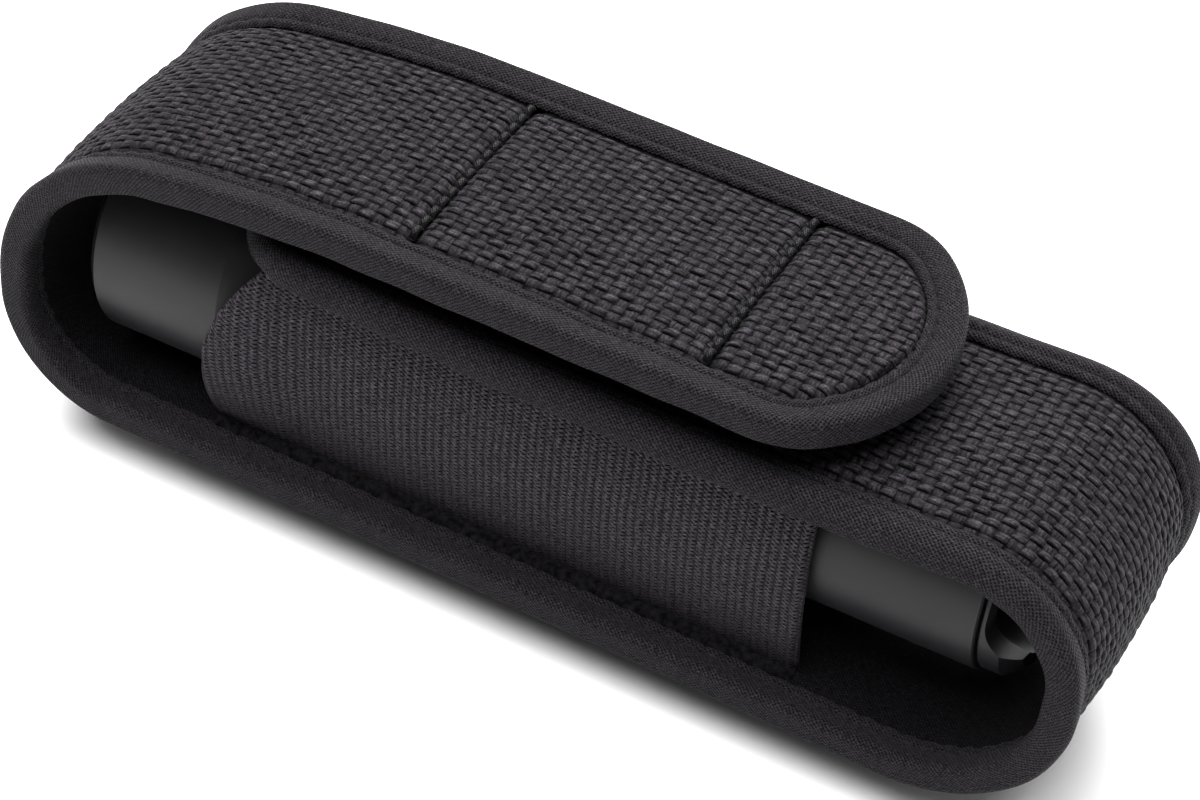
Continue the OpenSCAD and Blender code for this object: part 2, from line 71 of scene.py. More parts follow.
def stacked(*parts: np.ndarray) -> np.ndarray:
    """Arrays side by side on a new last axis."""
    return np.stack(np.broadcast_arrays(*parts), axis=-1)


def lengths_along(points: np.ndarray) -> np.ndarray:
    """Length so far at each point of a line."""
    steps = np.linalg.norm(np.diff(points, axis=0), axis=1)
    return np.concatenate([[0.0], np.cumsum(steps)])


def smooth_step(low: float, high: float, value: np.ndarray) -> np.ndarray:
    """Eased share of the way from low to high."""
    t = np.clip((value - low) / (high - low), 0.0, 1.0)
    return t * t * (3 - 2 * t)


def ripple(a: np.ndarray, b: np.ndarray, size: float) -> np.ndarray:
    """Even, wandering unevenness between -1 and 1.

    Args:
        a: First coordinate of each place, in metres.
        b: Second coordinate of each place, in metres.
        size: Length of the longest waves, in metres.

    Returns:
        One value for each place.
    """
    u, v = a * (2 * math.pi / size), b * (2 * math.pi / size)
    waves = np.sin(u + 1.3 * np.sin(0.7 * v + 0.4)) + np.sin(1.37 * v + 1.1 * np.sin(0.9 * u))
    return (waves + np.sin(2.3 * u - 1.9 * v + 2.0) + np.sin(1.7 * u + 2.6 * v + 0.7)) / 4


def build_mesh(name: str, verts: np.ndarray, faces: list[np.ndarray], uv: np.ndarray) -> bpy.types.Object:
    """Makes a smooth closed mesh with its faces turned outwards.

    Args:
        name: The piece's name.
        verts: Points in metres, one row each.
        faces: Arrays of corner numbers, one row per face.
        uv: Texture place of each point, in millimetres.

    Returns:
        The new object, linked to the scene.
    """
    volume = 0.0
    for rows in faces:
        for k in range(1, rows.shape[1] - 1):
            a, b, c = verts[rows[:, 0]], verts[rows[:, k]], verts[rows[:, k + 1]]
            volume += float(np.einsum("ij,ij->", a, np.cross(b, c)))
    if volume < 0:
        faces = [rows[:, ::-1] for rows in faces]
    corners = np.concatenate([rows.ravel() for rows in faces]).astype(np.int32)
    counts = np.concatenate([np.full(len(rows), rows.shape[1]) for rows in faces])
    starts = np.concatenate([[0], np.cumsum(counts)[:-1]]).astype(np.int32)
    mesh = bpy.data.meshes.new(name)
    mesh.vertices.add(len(verts))
    mesh.vertices.foreach_set("co", verts.astype(np.float32).ravel())
    mesh.loops.add(len(corners))
    mesh.loops.foreach_set("vertex_index", corners)
    mesh.polygons.add(len(counts))
    mesh.polygons.foreach_set("loop_start", starts)
    mesh.polygons.foreach_set("use_smooth", np.ones(len(counts), dtype=bool))
    layer = mesh.uv_layers.new(name=UV_NAME)
    layer.data.foreach_set("uv", uv[corners].astype(np.float32).ravel())
    mesh.update()
    mesh.validate()
    mesh.set_sharp_from_angle(angle=SHARP_ANGLE)
    piece = bpy.data.objects.new(name, mesh)
    bpy.context.scene.collection.objects.link(piece)
    return piece


def add_values(piece: bpy.types.Object, name: str, values: np.ndarray) -> None:
    """Stores one number per point on a piece, padded with noughts past the given ones.

    Args:
        piece: The mesh object.
        name: The attribute's name.
        values: The numbers, for the first points of the mesh.
    """
    padded = np.zeros(len(piece.data.vertices), dtype=np.float32)
    padded[: values.size] = values.ravel()
    piece.data.attributes.new(name, "FLOAT", "POINT").data.foreach_set("value", padded)


def grid_faces(rows: int, columns: int) -> np.ndarray:
    """Four-sided faces of a grid of points numbered row by row."""
    at = np.arange(rows * columns).reshape(rows, columns)
    return stacked(at[:-1, :-1], at[:-1, 1:], at[1:, 1:], at[1:, :-1]).reshape(-1, 4)


def slab(name: str, top: np.ndarray, under: np.ndarray, uv: np.ndarray) -> bpy.types.Object:
    """Closed sheet: a fine grid on top, and plain strips under it from edge to edge.

    Args:
        name: The piece's name.
        top: Grid of points, rows by columns by 3.
        under: Two points under each row, at its first and last column, rows by 2 by 3.
        uv: Texture places of the grid's points, in millimetres.

    Returns:
        The new object.
    """
    rows, columns = top.shape[:2]
    at = np.arange(rows * columns).reshape(rows, columns)
    low = rows * columns + np.arange(rows * 2).reshape(rows, 2)
    verts = np.concatenate([top.reshape(-1, 3), under.reshape(-1, 3)])
    places = np.concatenate([uv.reshape(-1, 2), uv[:, [0, -1]].reshape(-1, 2)])
    first = stacked(at[:-1, 0], at[1:, 0], low[1:, 0], low[:-1, 0])
    last = stacked(at[1:, -1], at[:-1, -1], low[:-1, 1], low[1:, 1])
    bottom = stacked(low[:-1, 0], low[1:, 0], low[1:, 1], low[:-1, 1])
    start = np.concatenate([at[0, ::-1], low[0]])[None]
    end = np.concatenate([at[-1], low[-1, ::-1]])[None]
    return build_mesh(name, verts, [grid_faces(rows, columns), first, last, bottom, start, end], places)


def two_sided(name: str, top: np.ndarray, under: np.ndarray, uv: np.ndarray) -> bpy.types.Object:
    """Closed sheet with a full grid on both sides.

    Args:
        name: The piece's name.
        top: Grid of points on the outer side, rows by columns by 3.
        under: Grid of points on the inner side.
        uv: Texture places of both, in millimetres.

    Returns:
        The new object.
    """
    rows, columns = top.shape[:2]
    count = rows * columns
    at = np.arange(count).reshape(rows, columns)
    loop = np.concatenate([at[0, :-1], at[:-1, -1], at[-1, :0:-1], at[:0:-1, 0]])
    ahead = np.roll(loop, -1)
    rim = stacked(loop, loop + count, ahead + count, ahead)
    faces = grid_faces(rows, columns)
    verts = np.concatenate([top.reshape(-1, 3), under.reshape(-1, 3)])
    return build_mesh(name, verts, [faces, faces[:, ::-1] + count, rim], np.tile(uv.reshape(-1, 2), (2, 1)))


def tubes(name: str, rings: np.ndarray, uv: np.ndarray) -> bpy.types.Object:
    """One or more closed tubes with flat ends.

    Args:
        name: The piece's name.
        rings: Points as tubes by rings by sides by 3.
        uv: Texture places of the points, in millimetres.

    Returns:
        The new object.
    """
    count, along, sides = rings.shape[:3]
    at = np.arange(count * along * sides).reshape(count, along, sides)
    ahead = np.roll(at, -1, axis=2)
    skin = stacked(at[:, :-1], ahead[:, :-1], ahead[:, 1:], at[:, 1:]).reshape(-1, 4)
    caps = [at[:, 0, ::-1].reshape(count, sides), at[:, -1].reshape(count, sides)]
    return build_mesh(name, rings.reshape(-1, 3), [skin, *caps], uv.reshape(-1, 2))


def join(pieces: list[bpy.types.Object]) -> bpy.types.Object:
    """Joins meshes into the first one.

    Args:
        pieces: The objects to join.

    Returns:
        The first object, with all their faces.
    """
    if len(pieces) > 1:
        with bpy.context.temp_override(
            active_object=pieces[0], object=pieces[0], selected_editable_objects=pieces, selected_objects=pieces
        ):
            bpy.ops.object.join()
    return pieces[0]


class Tree:
    """Short calls for laying out a node tree."""

    def __init__(self, tree: bpy.types.NodeTree) -> None:
        """Keeps the tree and clears it."""
        self.tree = tree
        tree.nodes.clear()

    def add(self, kind: str, **settings: object) -> bpy.types.Node:
        """Adds a node and sets its named properties."""
        node = self.tree.nodes.new("ShaderNode" + kind)
        for name, value in settings.items():
            setattr(node, name, value)
        return node

    def feed(self, socket: bpy.types.NodeSocket, source: object) -> None:
        """Links a socket to another, or sets its value."""
        if isinstance(source, bpy.types.NodeSocket):
            self.tree.links.new(source, socket)
        else:
            socket.default_value = source

    def feed_all(self, node: bpy.types.Node, sources: dict[str, object]) -> None:
        """Feeds a node's named inputs."""
        for name, source in sources.items():
            self.feed(node.inputs[name], source)

    def math(self, operation: str, *sources: object) -> bpy.types.NodeSocket:
        """Result of a math node on up to three sources."""
        node = self.add("Math", operation=operation)
        for socket, source in zip(node.inputs, sources):
            self.feed(socket, source)
        return node.outputs[0]

    def scaled(self, vector: bpy.types.NodeSocket, scale: object) -> bpy.types.NodeSocket:
        """A vector times another, part by part."""
        node = self.add("VectorMath", operation="MULTIPLY")
        self.feed(node.inputs[0], vector)
        self.feed(node.inputs[1], scale)
        return node.outputs[0]

    def mix(self, share: object, a: object, b: object, blend: str = "MIX") -> bpy.types.NodeSocket:
        """Colour between a and b, or another blend of them."""
        node = self.add("Mix", data_type="RGBA", blend_type=blend)
        for place, source in ((0, share), (6, a), (7, b)):
            self.feed(node.inputs[place], source)
        return node.outputs[2]

    def shade(self, colour: object, value: object) -> bpy.types.NodeSocket:
        """A colour times a value."""
        return self.mix(1.0, colour, value, "MULTIPLY")

    def spread(self, value: object, low: float, high: float, to: tuple[float, float]) -> bpy.types.NodeSocket:
        """A value carried from the span low to high onto another span, and held inside it."""
        node = self.add("MapRange")
        for socket, source in zip(node.inputs, (value, low, high, *to)):
            self.feed(socket, source)
        return node.outputs[0]

    def noise(self, vector: object, scale: float, detail: float = 2.0) -> bpy.types.NodeSocket:
        """Value of a noise texture."""
        node = self.add("TexNoise")
        self.feed_all(node, {"Vector": vector, "Scale": scale, "Detail": detail})
        return node.outputs[0]


class Effect(Enum):
    """Shared surface effects, each a node group that is built once."""

    BASKET = "basket"
    FIBRES = "fibres"
    SMALL_WEAVE = "small_weave"
    GRAIN = "grain"


def effect(kind: Effect) -> bpy.types.NodeTree:
    """The node group of an effect, built at its first use.

    Args:
        kind: Which effect.

    Returns:
        The group's tree.
    """
    found = bpy.data.node_groups.get(kind.value)
    if found:
        return found
    group = bpy.data.node_groups.new(kind.value, "ShaderNodeTree")
    tree = Tree(group)
    layers = {
        Effect.BASKET: lay_basket,
        Effect.FIBRES: lay_fibres,
        Effect.SMALL_WEAVE: lay_small_weave,
        Effect.GRAIN: lay_grain,
    }
    layers[kind](tree)
    return group


def ports(tree: Tree, inputs: dict[str, str], outputs: list[str]) -> tuple[bpy.types.Node, bpy.types.Node]:
    """Gives a group its named sockets.

    Args:
        tree: The group's tree.
        inputs: Socket names and their kinds.
        outputs: Names of the values put out.

    Returns:
        The group's input and output nodes.
    """
    for name, kind in inputs.items():
        tree.tree.interface.new_socket(name, in_out="INPUT", socket_type="NodeSocket" + kind)
    for name in outputs:
        tree.tree.interface.new_socket(name, in_out="OUTPUT", socket_type="NodeSocketFloat")
    return tree.tree.nodes.new("NodeGroupInput"), tree.tree.nodes.new("NodeGroupOutput")


def lay_basket(tree: Tree) -> None:
    """Yarns of the basket weave: which yarn is on top, how high it stands, and where shade is painted: the slit
    on each float's near side, the low places, and the yarns that lie under.
    """
    weave = BasketWeave()
    given, put = ports(tree, {"Place": "Vector"}, ["Along", "Rise", "PaintedShade", "Tone"])
    parts = tree.add("SeparateXYZ")
    tree.feed(parts.inputs[0], given.outputs["Place"])
    u = tree.math("DIVIDE", parts.outputs[0], weave.pitch_along / MM)
    v = tree.math("DIVIDE", parts.outputs[1], weave.pitch_across / MM)
    row = tree.math("ROUND", v)
    off = tree.math("SUBTRACT", v, row)
    column = tree.math("ROUND", u)
    beside = tree.math("SUBTRACT", u, column)
    leaned = tree.math("MULTIPLY_ADD", off, weave.slant * weave.pitch_across / weave.pitch_along, u)
    up_along = flattened(tree, tree.math("ADD", leaned, row), weave.plateau)
    up_across = flattened(tree, tree.math("ADD", v, tree.math("ADD", column, 1.0)), weave.plateau)
    share = weave.wave / weave.dome
    along = tree.math("MULTIPLY_ADD", up_along, share, pillow(tree, off))
    across = tree.math("MULTIPLY_ADD", up_across, share, pillow(tree, beside))
    rise = tree.math("MAXIMUM", along, across)
    on_top = tree.spread(tree.math("SUBTRACT", along, across), -0.15, 0.15, (0.0, 1.0))
    # Painted shadow: a dark slit along the near side of each float, the side turned away from the light behind.
    edge = tree.spread(off, -0.46, -0.16, (1.0, 0.0))
    slit = tree.math("MULTIPLY", edge, tree.spread(up_along, 0.0, 0.45, (0.0, 1.0)))
    cell = tree.add("CombineXYZ")
    tree.feed_all(cell, {"X": column, "Y": row})
    tone = tree.noise(cell.outputs[0], 1.37, 0.0)
    # Painted shade: the yarns that lie under are darker, and so are the low places between the yarns.
    sunk = tree.math("MULTIPLY", tree.math("SUBTRACT", 1.0, on_top), weave.under)
    dark = tree.math("MAXIMUM", slit, tree.spread(rise, 0.1, 0.7, (1.0, 0.0)))
    painted_shade = tree.math("MAXIMUM", dark, sunk)
    tree.feed_all(put, {"Along": on_top, "Rise": rise, "PaintedShade": painted_shade, "Tone": tone})


def flattened(tree: Tree, turns: bpy.types.NodeSocket, power: float) -> bpy.types.NodeSocket:
    """A wave of half turns with broad crests and hollows."""
    wave = tree.math("COSINE", tree.math("MULTIPLY", turns, math.pi))
    broad = tree.math("POWER", tree.math("ABSOLUTE", wave), power)
    return tree.math("MULTIPLY", tree.math("SIGN", wave), broad)


def pillow(tree: Tree, off: bpy.types.NodeSocket) -> bpy.types.NodeSocket:
    """Height of a yarn's rounded top over its width, from the middle at nought to either edge at a half."""
    steep = tree.math("POWER", tree.math("MULTIPLY", tree.math("ABSOLUTE", off), 2.0), BasketWeave.pillow)
    return tree.math("SUBTRACT", 1.0, steep)


def lay_fibres(tree: Tree) -> None:
    """Fine filaments: noise drawn out along the yarn, blotches, specks, and stray bright lint."""
    given, put = ports(tree, {"Place": "Vector", "Stretch": "Vector"}, ["Height", "Shade", "Speck", "Lint"])
    place = given.outputs["Place"]
    specks = tree.add("TexVoronoi", feature="F1")
    tree.feed_all(specks, {"Vector": place, "Scale": 0.55})
    tree.feed_all(put, {
        "Height": tree.noise(tree.scaled(place, given.outputs["Stretch"]), 1.0, 3.0),
        "Shade": tree.noise(place, 0.35, 3.0),
        "Speck": tree.noise(place, 4.0, 2.0),
        "Lint": tree.spread(specks.outputs["Distance"], 0.035, 0.06, (1.0, 0.0)),
    })


def lay_small_weave(tree: Tree) -> None:
    """Fine weave on the bias: staggered small floats, with painted shade in the holes between them."""
    given, put = ports(tree, {"Place": "Vector", "Pitch": "Float"}, ["Height", "PaintedHoleShade"])
    parts = tree.add("SeparateXYZ")
    tree.feed(parts.inputs[0], given.outputs["Place"])
    turn = tree.math("DIVIDE", math.pi, given.outputs["Pitch"])
    shift = tree.math("MULTIPLY", tree.noise(given.outputs["Place"], 0.8), given.outputs["Pitch"])
    x = tree.math("ADD", parts.outputs[0], shift)
    u = tree.math("MULTIPLY", tree.math("ADD", x, parts.outputs[1]), turn)
    v = tree.math("MULTIPLY", tree.math("SUBTRACT", x, parts.outputs[1]), turn)
    a = tree.math("ABSOLUTE", tree.math("COSINE", u))
    b = tree.math("ABSOLUTE", tree.math("COSINE", v))
    top = tree.math("MAXIMUM", a, b)
    patchy = tree.spread(tree.noise(given.outputs["Place"], 0.9), 0.35, 0.6, (0.65, 1.0))
    # Painted shade in the holes between the floats, patchy in strength.
    hole = tree.math("MULTIPLY", tree.spread(top, 0.38, 0.85, (1.0, 0.0)), patchy)
    height = tree.math("ADD", top, tree.math("MULTIPLY", a, 0.35))
    tree.feed_all(put, {"Height": height, "PaintedHoleShade": hole})


def lay_grain(tree: Tree) -> None:
    """Blasted or moulded surface: fine grain, soft blotches and faint scuffs."""
    given, put = ports(tree, {"Place": "Vector", "Size": "Float"}, ["Height", "Blotch", "Scuff"])
    place = given.outputs["Place"]
    sized = tree.add("VectorMath", operation="SCALE")
    tree.feed(sized.inputs[0], place)
    tree.feed(sized.inputs["Scale"], tree.math("DIVIDE", 1.0 / MM, given.outputs["Size"]))
    scuffs = tree.noise(tree.scaled(place, (60.0, 900.0, 900.0)), 1.0, 2.0)
    tree.feed_all(put, {
        "Height": tree.noise(sized.outputs[0], 1.0, 4.0),
        "Blotch": tree.noise(place, 140.0, 3.0),
        "Scuff": tree.spread(scuffs, 0.68, 0.78, (0.0, 1.0)),
    })


@dataclass(frozen=True)
class Finish:
    """What every finish shares: its name, base colour and roughness."""

    name: str
    colour: tuple[float, float, float]
    roughness: float

    def start(self) -> tuple[bpy.types.Material, Tree, bpy.types.Node]:
        """A new material with its tree and its shader."""
        material = bpy.data.materials.new("finish_" + self.name)
        material.use_nodes = True
        tree = Tree(material.node_tree)
        shader = tree.add("BsdfPrincipled")
        tree.feed(tree.add("OutputMaterial").inputs[0], shader.outputs[0])
        return material, tree, shader

    def tone(self, share: float) -> tuple[float, float, float, float]:
        """The base colour times a share."""
        return (*(share * part for part in self.colour), 1.0)

    def use(self, tree: Tree, kind: Effect, **sources: object) -> bpy.types.Node:
        """Places an effect's group in a material with its own values."""
        node = tree.add("Group")
        node.node_tree = effect(kind)
        tree.feed_all(node, {name.capitalize(): source for name, source in sources.items()})
        return node

    def strip_place(self, tree: Tree) -> bpy.types.NodeSocket:
        """Place along and across the strip, in millimetres."""
        return tree.add("UVMap", uv_map=UV_NAME).outputs[0]

    def raise_bump(self, tree: Tree, shader: bpy.types.Node, height: object, depth: float) -> None:
        """Feeds a height to the shader's normal through a bump of the given depth in metres."""
        bump = tree.add("Bump")
        tree.feed_all(bump, {"Strength": 1.0, "Distance": depth, "Height": height})
        tree.feed(shader.inputs["Normal"], bump.outputs[0])

    def material(self) -> bpy.types.Material:
        """The finished material, made at its first use."""
        return bpy.data.materials.get("finish_" + self.name) or self.make()

    def make(self) -> bpy.types.Material:
        """Builds the material."""
        raise NotImplementedError


@dataclass(frozen=True)
class WovenNylon(Finish):
    """Thick yarns whose filaments run with the yarn that lies on top."""

    depth: float = 0.18
    gloss: float = 0.1
    sheen: float = 0.02

    def make(self) -> bpy.types.Material:
        """Builds the material on the mesh's own yarn places and on the painted shade stored for its grooves."""
        material, tree, shader = self.start()
        place = self.strip_place(tree)
        yarns = self.use(tree, Effect.BASKET, place=place)
        along = self.use(tree, Effect.FIBRES, place=place, stretch=(0.6, 3.4, 1.0))
        across = self.use(tree, Effect.FIBRES, place=place, stretch=(3.4, 0.6, 1.0))
        # Painted shade stored on the mesh for the grooves along the tape and at the seams.
        hollow = tree.add("Attribute", attribute_name="hollow").outputs["Fac"]
        strands = tree.add("Mix")
        sources = (yarns.outputs["Along"], across.outputs["Height"], along.outputs["Height"])
        for number, source in zip((0, 2, 3), sources):
            tree.feed(strands.inputs[number], source)
        # Painted light and shade: the yarns' high places are lighter and their low places darker.
        crest = tree.spread(yarns.outputs["Rise"], 0.8, 1.85, (0.35, 1.7))
        lively = tree.shade(self.tone(1.0), tree.spread(yarns.outputs["Tone"], 0.3, 0.7, (0.86, 1.16)))
        filaments = tree.spread(strands.outputs[0], 0.34, 0.66, (0.2, 2.0))
        fibrous = tree.shade(tree.shade(lively, crest), filaments)
        specked = tree.shade(fibrous, tree.spread(along.outputs["Speck"], 0.3, 0.7, (0.45, 1.7)))
        worn = tree.shade(specked, tree.spread(along.outputs["Shade"], 0.35, 0.7, (0.88, 1.16)))
        # Painted shade: the weave's slits and low places and the stored grooves darken the colour almost to
        # black.
        slit = tree.math("MAXIMUM", yarns.outputs["PaintedShade"], hollow)
        deep = tree.shade(worn, tree.spread(slit, 0.05, 0.75, (1.0, 0.02)))
        rough = tree.spread(strands.outputs[0], 0.35, 0.65, (self.roughness - 0.1, self.roughness + 0.1))
        tree.feed_all(shader, {
            "Base Color": tree.mix(along.outputs["Lint"], deep, self.tone(LINT_TONE)),
            "Roughness": tree.math("MAXIMUM", rough, slit),
            "Specular IOR Level": self.gloss,
            "Sheen Weight": self.sheen,
            "Sheen Roughness": 0.45,
        })
        height = tree.math("MULTIPLY_ADD", strands.outputs[0], 0.5, yarns.outputs["Rise"])
        self.raise_bump(tree, shader, height, self.depth * MM)
        return material


@dataclass(frozen=True)
class SmallCloth(Finish):
    """Tape, lining, webbing or elastic: a small weave with fibres on it."""

    pitch: float = 0.66
    depth: float = 0.12
    # How dark the painted shade in the weave's holes is.
    hole: float = 0.95
    gloss: float = 0.1
    sheen: float = 0.02

    def make(self) -> bpy.types.Material:
        """Builds the material on the piece's own texture places."""
        material, tree, shader = self.start()
        place = self.strip_place(tree)
        weave = self.use(tree, Effect.SMALL_WEAVE, place=place, pitch=self.pitch * 2)
        fibres = self.use(tree, Effect.FIBRES, place=place, stretch=(1.4, 4.0, 1.0))
        # Painted shade stored on the mesh as hollows; nought where a piece has none.
        hollow = tree.add("Attribute", attribute_name="hollow").outputs["Fac"]
        drawn = tree.spread(fibres.outputs["Height"], 0.32, 0.68, (0.0, 1.0))
        body = tree.mix(drawn, self.tone(0.35), self.tone(1.65))
        # Painted light and shade: the weave's raised floats are lighter and its low parts darker.
        raised = tree.shade(body, tree.spread(weave.outputs["Height"], 0.7, 1.3, (0.5, 1.5)))
        specked = tree.shade(raised, tree.spread(fibres.outputs["Speck"], 0.3, 0.7, (0.6, 1.5)))
        faded = tree.shade(specked, tree.spread(fibres.outputs["Shade"], 0.35, 0.7, (0.92, 1.12)))
        # Painted shade in the holes between the floats and in the stored hollows, darkened almost to black.
        hole = tree.math("MAXIMUM", tree.math("MULTIPLY", weave.outputs["PaintedHoleShade"], self.hole), hollow)
        holed = tree.shade(faded, tree.spread(hole, 0.0, 1.0, (1.0, 0.02)))
        tree.feed_all(shader, {
            "Base Color": tree.mix(fibres.outputs["Lint"], holed, self.tone(LINT_TONE)),
            "Roughness": tree.spread(hole, 0.0, 1.0, (self.roughness - 0.05, 1.0)),
            "Specular IOR Level": self.gloss,
            "Sheen Weight": self.sheen,
            "Sheen Roughness": 0.4,
        })
        mixed = tree.math("ADD", weave.outputs["Height"], tree.math("MULTIPLY", fibres.outputs["Height"], 0.5))
        self.raise_bump(tree, shader, mixed, self.depth * MM)
        return material


@dataclass(frozen=True)
class Nap(Finish):
    """Fuzzy cloth: matted loops or fluff with a dull, uneven surface."""

    scale: float = 1.6
    depth: float = 0.35
    gloss: float = 0.04
    sheen: float = 0.02

    def make(self) -> bpy.types.Material:
        """Builds the material on the piece's own texture places."""
        material, tree, shader = self.start()
        place = self.strip_place(tree)
        fibres = self.use(tree, Effect.FIBRES, place=place, stretch=(self.scale * 2, self.scale * 3, 1.0))
        tufts = tree.noise(place, self.scale, 4.0)
        body = tree.mix(tree.spread(tufts, 0.35, 0.68, (0.0, 1.0)), self.tone(0.25), self.tone(1.5))
        tree.feed_all(shader, {
            "Base Color": tree.mix(fibres.outputs["Lint"], body, self.tone(LINT_TONE)),
            "Roughness": self.roughness,
            "Specular IOR Level": self.gloss,
            "Sheen Weight": self.sheen,
        })
        mixed = tree.math("ADD", tufts, tree.math("MULTIPLY", fibres.outputs["Height"], 0.6))
        self.raise_bump(tree, shader, mixed, self.depth * MM)
        return material


@dataclass(frozen=True)
class Solid(Finish):
    """Metal, rubber, board or plastic with a grain of its own."""

    metallic: float = 0.0
    grain: float = 0.25
    depth: float = 0.02
    scuff: float = 0.15
    coat: float = 0.0
    gloss: float = 0.5

    def make(self) -> bpy.types.Material:
        """Builds the material on the object's own coordinates."""
        material, tree, shader = self.start()
        place = tree.add("TexCoord").outputs["Object"]
        grain = self.use(tree, Effect.GRAIN, place=place, size=self.grain)
        blotch = tree.spread(grain.outputs["Blotch"], 0.3, 0.7, (0.0, 1.0))
        body = tree.mix(blotch, self.tone(0.9), self.tone(1.1))
        scuffs = tree.math("MULTIPLY", grain.outputs["Scuff"], self.scuff)
        rough = (max(self.roughness - 0.05, 0.02), self.roughness + 0.07)
        tree.feed_all(shader, {
            "Base Color": tree.mix(scuffs, body, self.tone(1.8)),
            "Roughness": tree.spread(grain.outputs["Height"], 0.35, 0.65, rough),
            "Metallic": self.metallic,
            "Coat Weight": self.coat,
            "Specular IOR Level": self.gloss,
        })
        self.raise_bump(tree, shader, grain.outputs["Height"], self.depth * MM)
        return material


@dataclass(frozen=True)
class Glass(Finish):
    """Clear coated glass."""

    def make(self) -> bpy.types.Material:
        """Builds the material with a faint haze in its gloss."""
        material, tree, shader = self.start()
        place = tree.add("TexCoord").outputs["Object"]
        grain = self.use(tree, Effect.GRAIN, place=place, size=2.0)
        rough = (self.roughness, self.roughness + 0.03)
        tree.feed_all(shader, {
            "Base Color": self.tone(1.0),
            "Roughness": tree.spread(grain.outputs["Blotch"], 0.3, 0.7, rough),
            "Transmission Weight": 1.0,
            "IOR": 1.5,
        })
        return material


NYLON = WovenNylon("woven_nylon", (0.0148, 0.0131, 0.0155), 0.6, gloss=0.05)
TAPE = SmallCloth("binding_tape", (0.0135, 0.012, 0.0141), 0.62, pitch=0.29, hole=0.75, gloss=0.05)
LINING = SmallCloth(
    "lining_cloth", (0.006, 0.0054, 0.0063), 0.85, pitch=0.24, depth=0.06, gloss=0.03, sheen=0.0
)
ELASTIC = SmallCloth(
    "ribbed_elastic", (0.0395, 0.0352, 0.0413), 0.8, pitch=0.55, depth=0.15, hole=1.0, gloss=0.03
)
WEBBING = SmallCloth("webbing", (0.017, 0.0152, 0.0178), 0.75, pitch=0.6, depth=0.15, gloss=0.05)
THREAD = SmallCloth("sewing_thread", (0.014, 0.0126, 0.0147), 0.55, pitch=0.14, depth=0.04, hole=0.4)
# Painted shade: a darker copy of the sewing thread, for the stitches sunk in the tape's groove.
SHADED_THREAD = SmallCloth("shaded_stitch_thread", (0.004, 0.004, 0.004), 0.7, pitch=0.14, depth=0.04, hole=0.4)
BEAD_THREAD = SmallCloth(
    "bead_thread", (0.005, 0.0045, 0.0053), 0.42, pitch=0.2, depth=0.05, hole=0.5, gloss=0.2
)
HOOK = Nap("hook_tape", (0.0095, 0.0086, 0.0099), 0.8, scale=2.4)
LOOP = Nap("loop_tape", (0.0105, 0.0095, 0.0109), 0.95, scale=1.4)
HEM = Nap("hem_fluff", (0.0075, 0.0068, 0.0078), 0.95, scale=1.2)


@dataclass(frozen=True)
class HolsterSizes:
    """Driving sizes of the holster's strip, in metres: the first ones are read off the frame."""

    half_w: float
    back_z: float
    left_x: float
    right_x: float
    flap_z: float
    tip_x: float
    tape_t: float
    strip_t: float = 2.7 * MM
    tape_w: float = 4.7 * MM
    tip_l: float = 14.9 * MM
    tip_corner_r: float = 11.7 * MM
    flap_slope: float = math.radians(10.5)
    flap_level_x: float = -18 * MM
    mouth_x: float = -39 * MM
    mouth_corner_r: float = 11 * MM
    mouth_low_r: float = 14.2 * MM
    mouth_top_r: float = 26 * MM
    closed_low_r: float = 20 * MM
    closed_top_r: float = 15 * MM
    sag_r: float = 700 * MM
    sag_low: float = 35.9 * MM
    sag_x: float = 15 * MM

    @classmethod
    def from_frame(cls) -> "HolsterSizes":
        """Reads the strip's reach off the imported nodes."""
        tape_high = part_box("flap_binding")[1]
        shell_low, shell_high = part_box("shell_outer")
        left_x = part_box("end_outer")[0].x
        return cls(
            half_w=tape_high.y,
            back_z=shell_low.z,
            left_x=left_x,
            right_x=shell_high.x,
            flap_z=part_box("flap_outer")[1].z,
            tip_x=tape_high.x,
            tape_t=left_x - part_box("end_binding")[0].x,
        )


@dataclass
class Edge:
    """A line to follow on the strip: places (s, y), inward directions, and the length so far."""

    place: np.ndarray
    inward: np.ndarray
    length: np.ndarray = field(init=False)

    def __post_init__(self) -> None:
        """Adds up the length."""
        self.length = lengths_along(self.place)

    def parts(self, length: np.ndarray) -> list[np.ndarray]:
        """Both parts of the places and of the directions at lengths along the line."""
        return [np.interp(length, self.length, column) for column in (*self.place.T, *self.inward.T)]

    def at(self, length: np.ndarray, inset: np.ndarray) -> tuple[np.ndarray, np.ndarray]:
        """Strip coordinates of places along the line, drawn in from it.

        Args:
            length: Length along the line of each place.
            inset: Distance in from the line of each place.

        Returns:
            The places' s and y.
        """
        s, y, to_s, to_y = self.parts(length)
        return s + inset * to_s, y + inset * to_y

    def resampled(self, step: float) -> "Edge":
        """The same line with even steps."""
        total = self.length[-1]
        length = np.linspace(0.0, total, max(int(round(total / step)), 2) + 1)
        s, y, to_s, to_y = self.parts(length)
        return Edge(stacked(s, y), stacked(to_s, to_y))


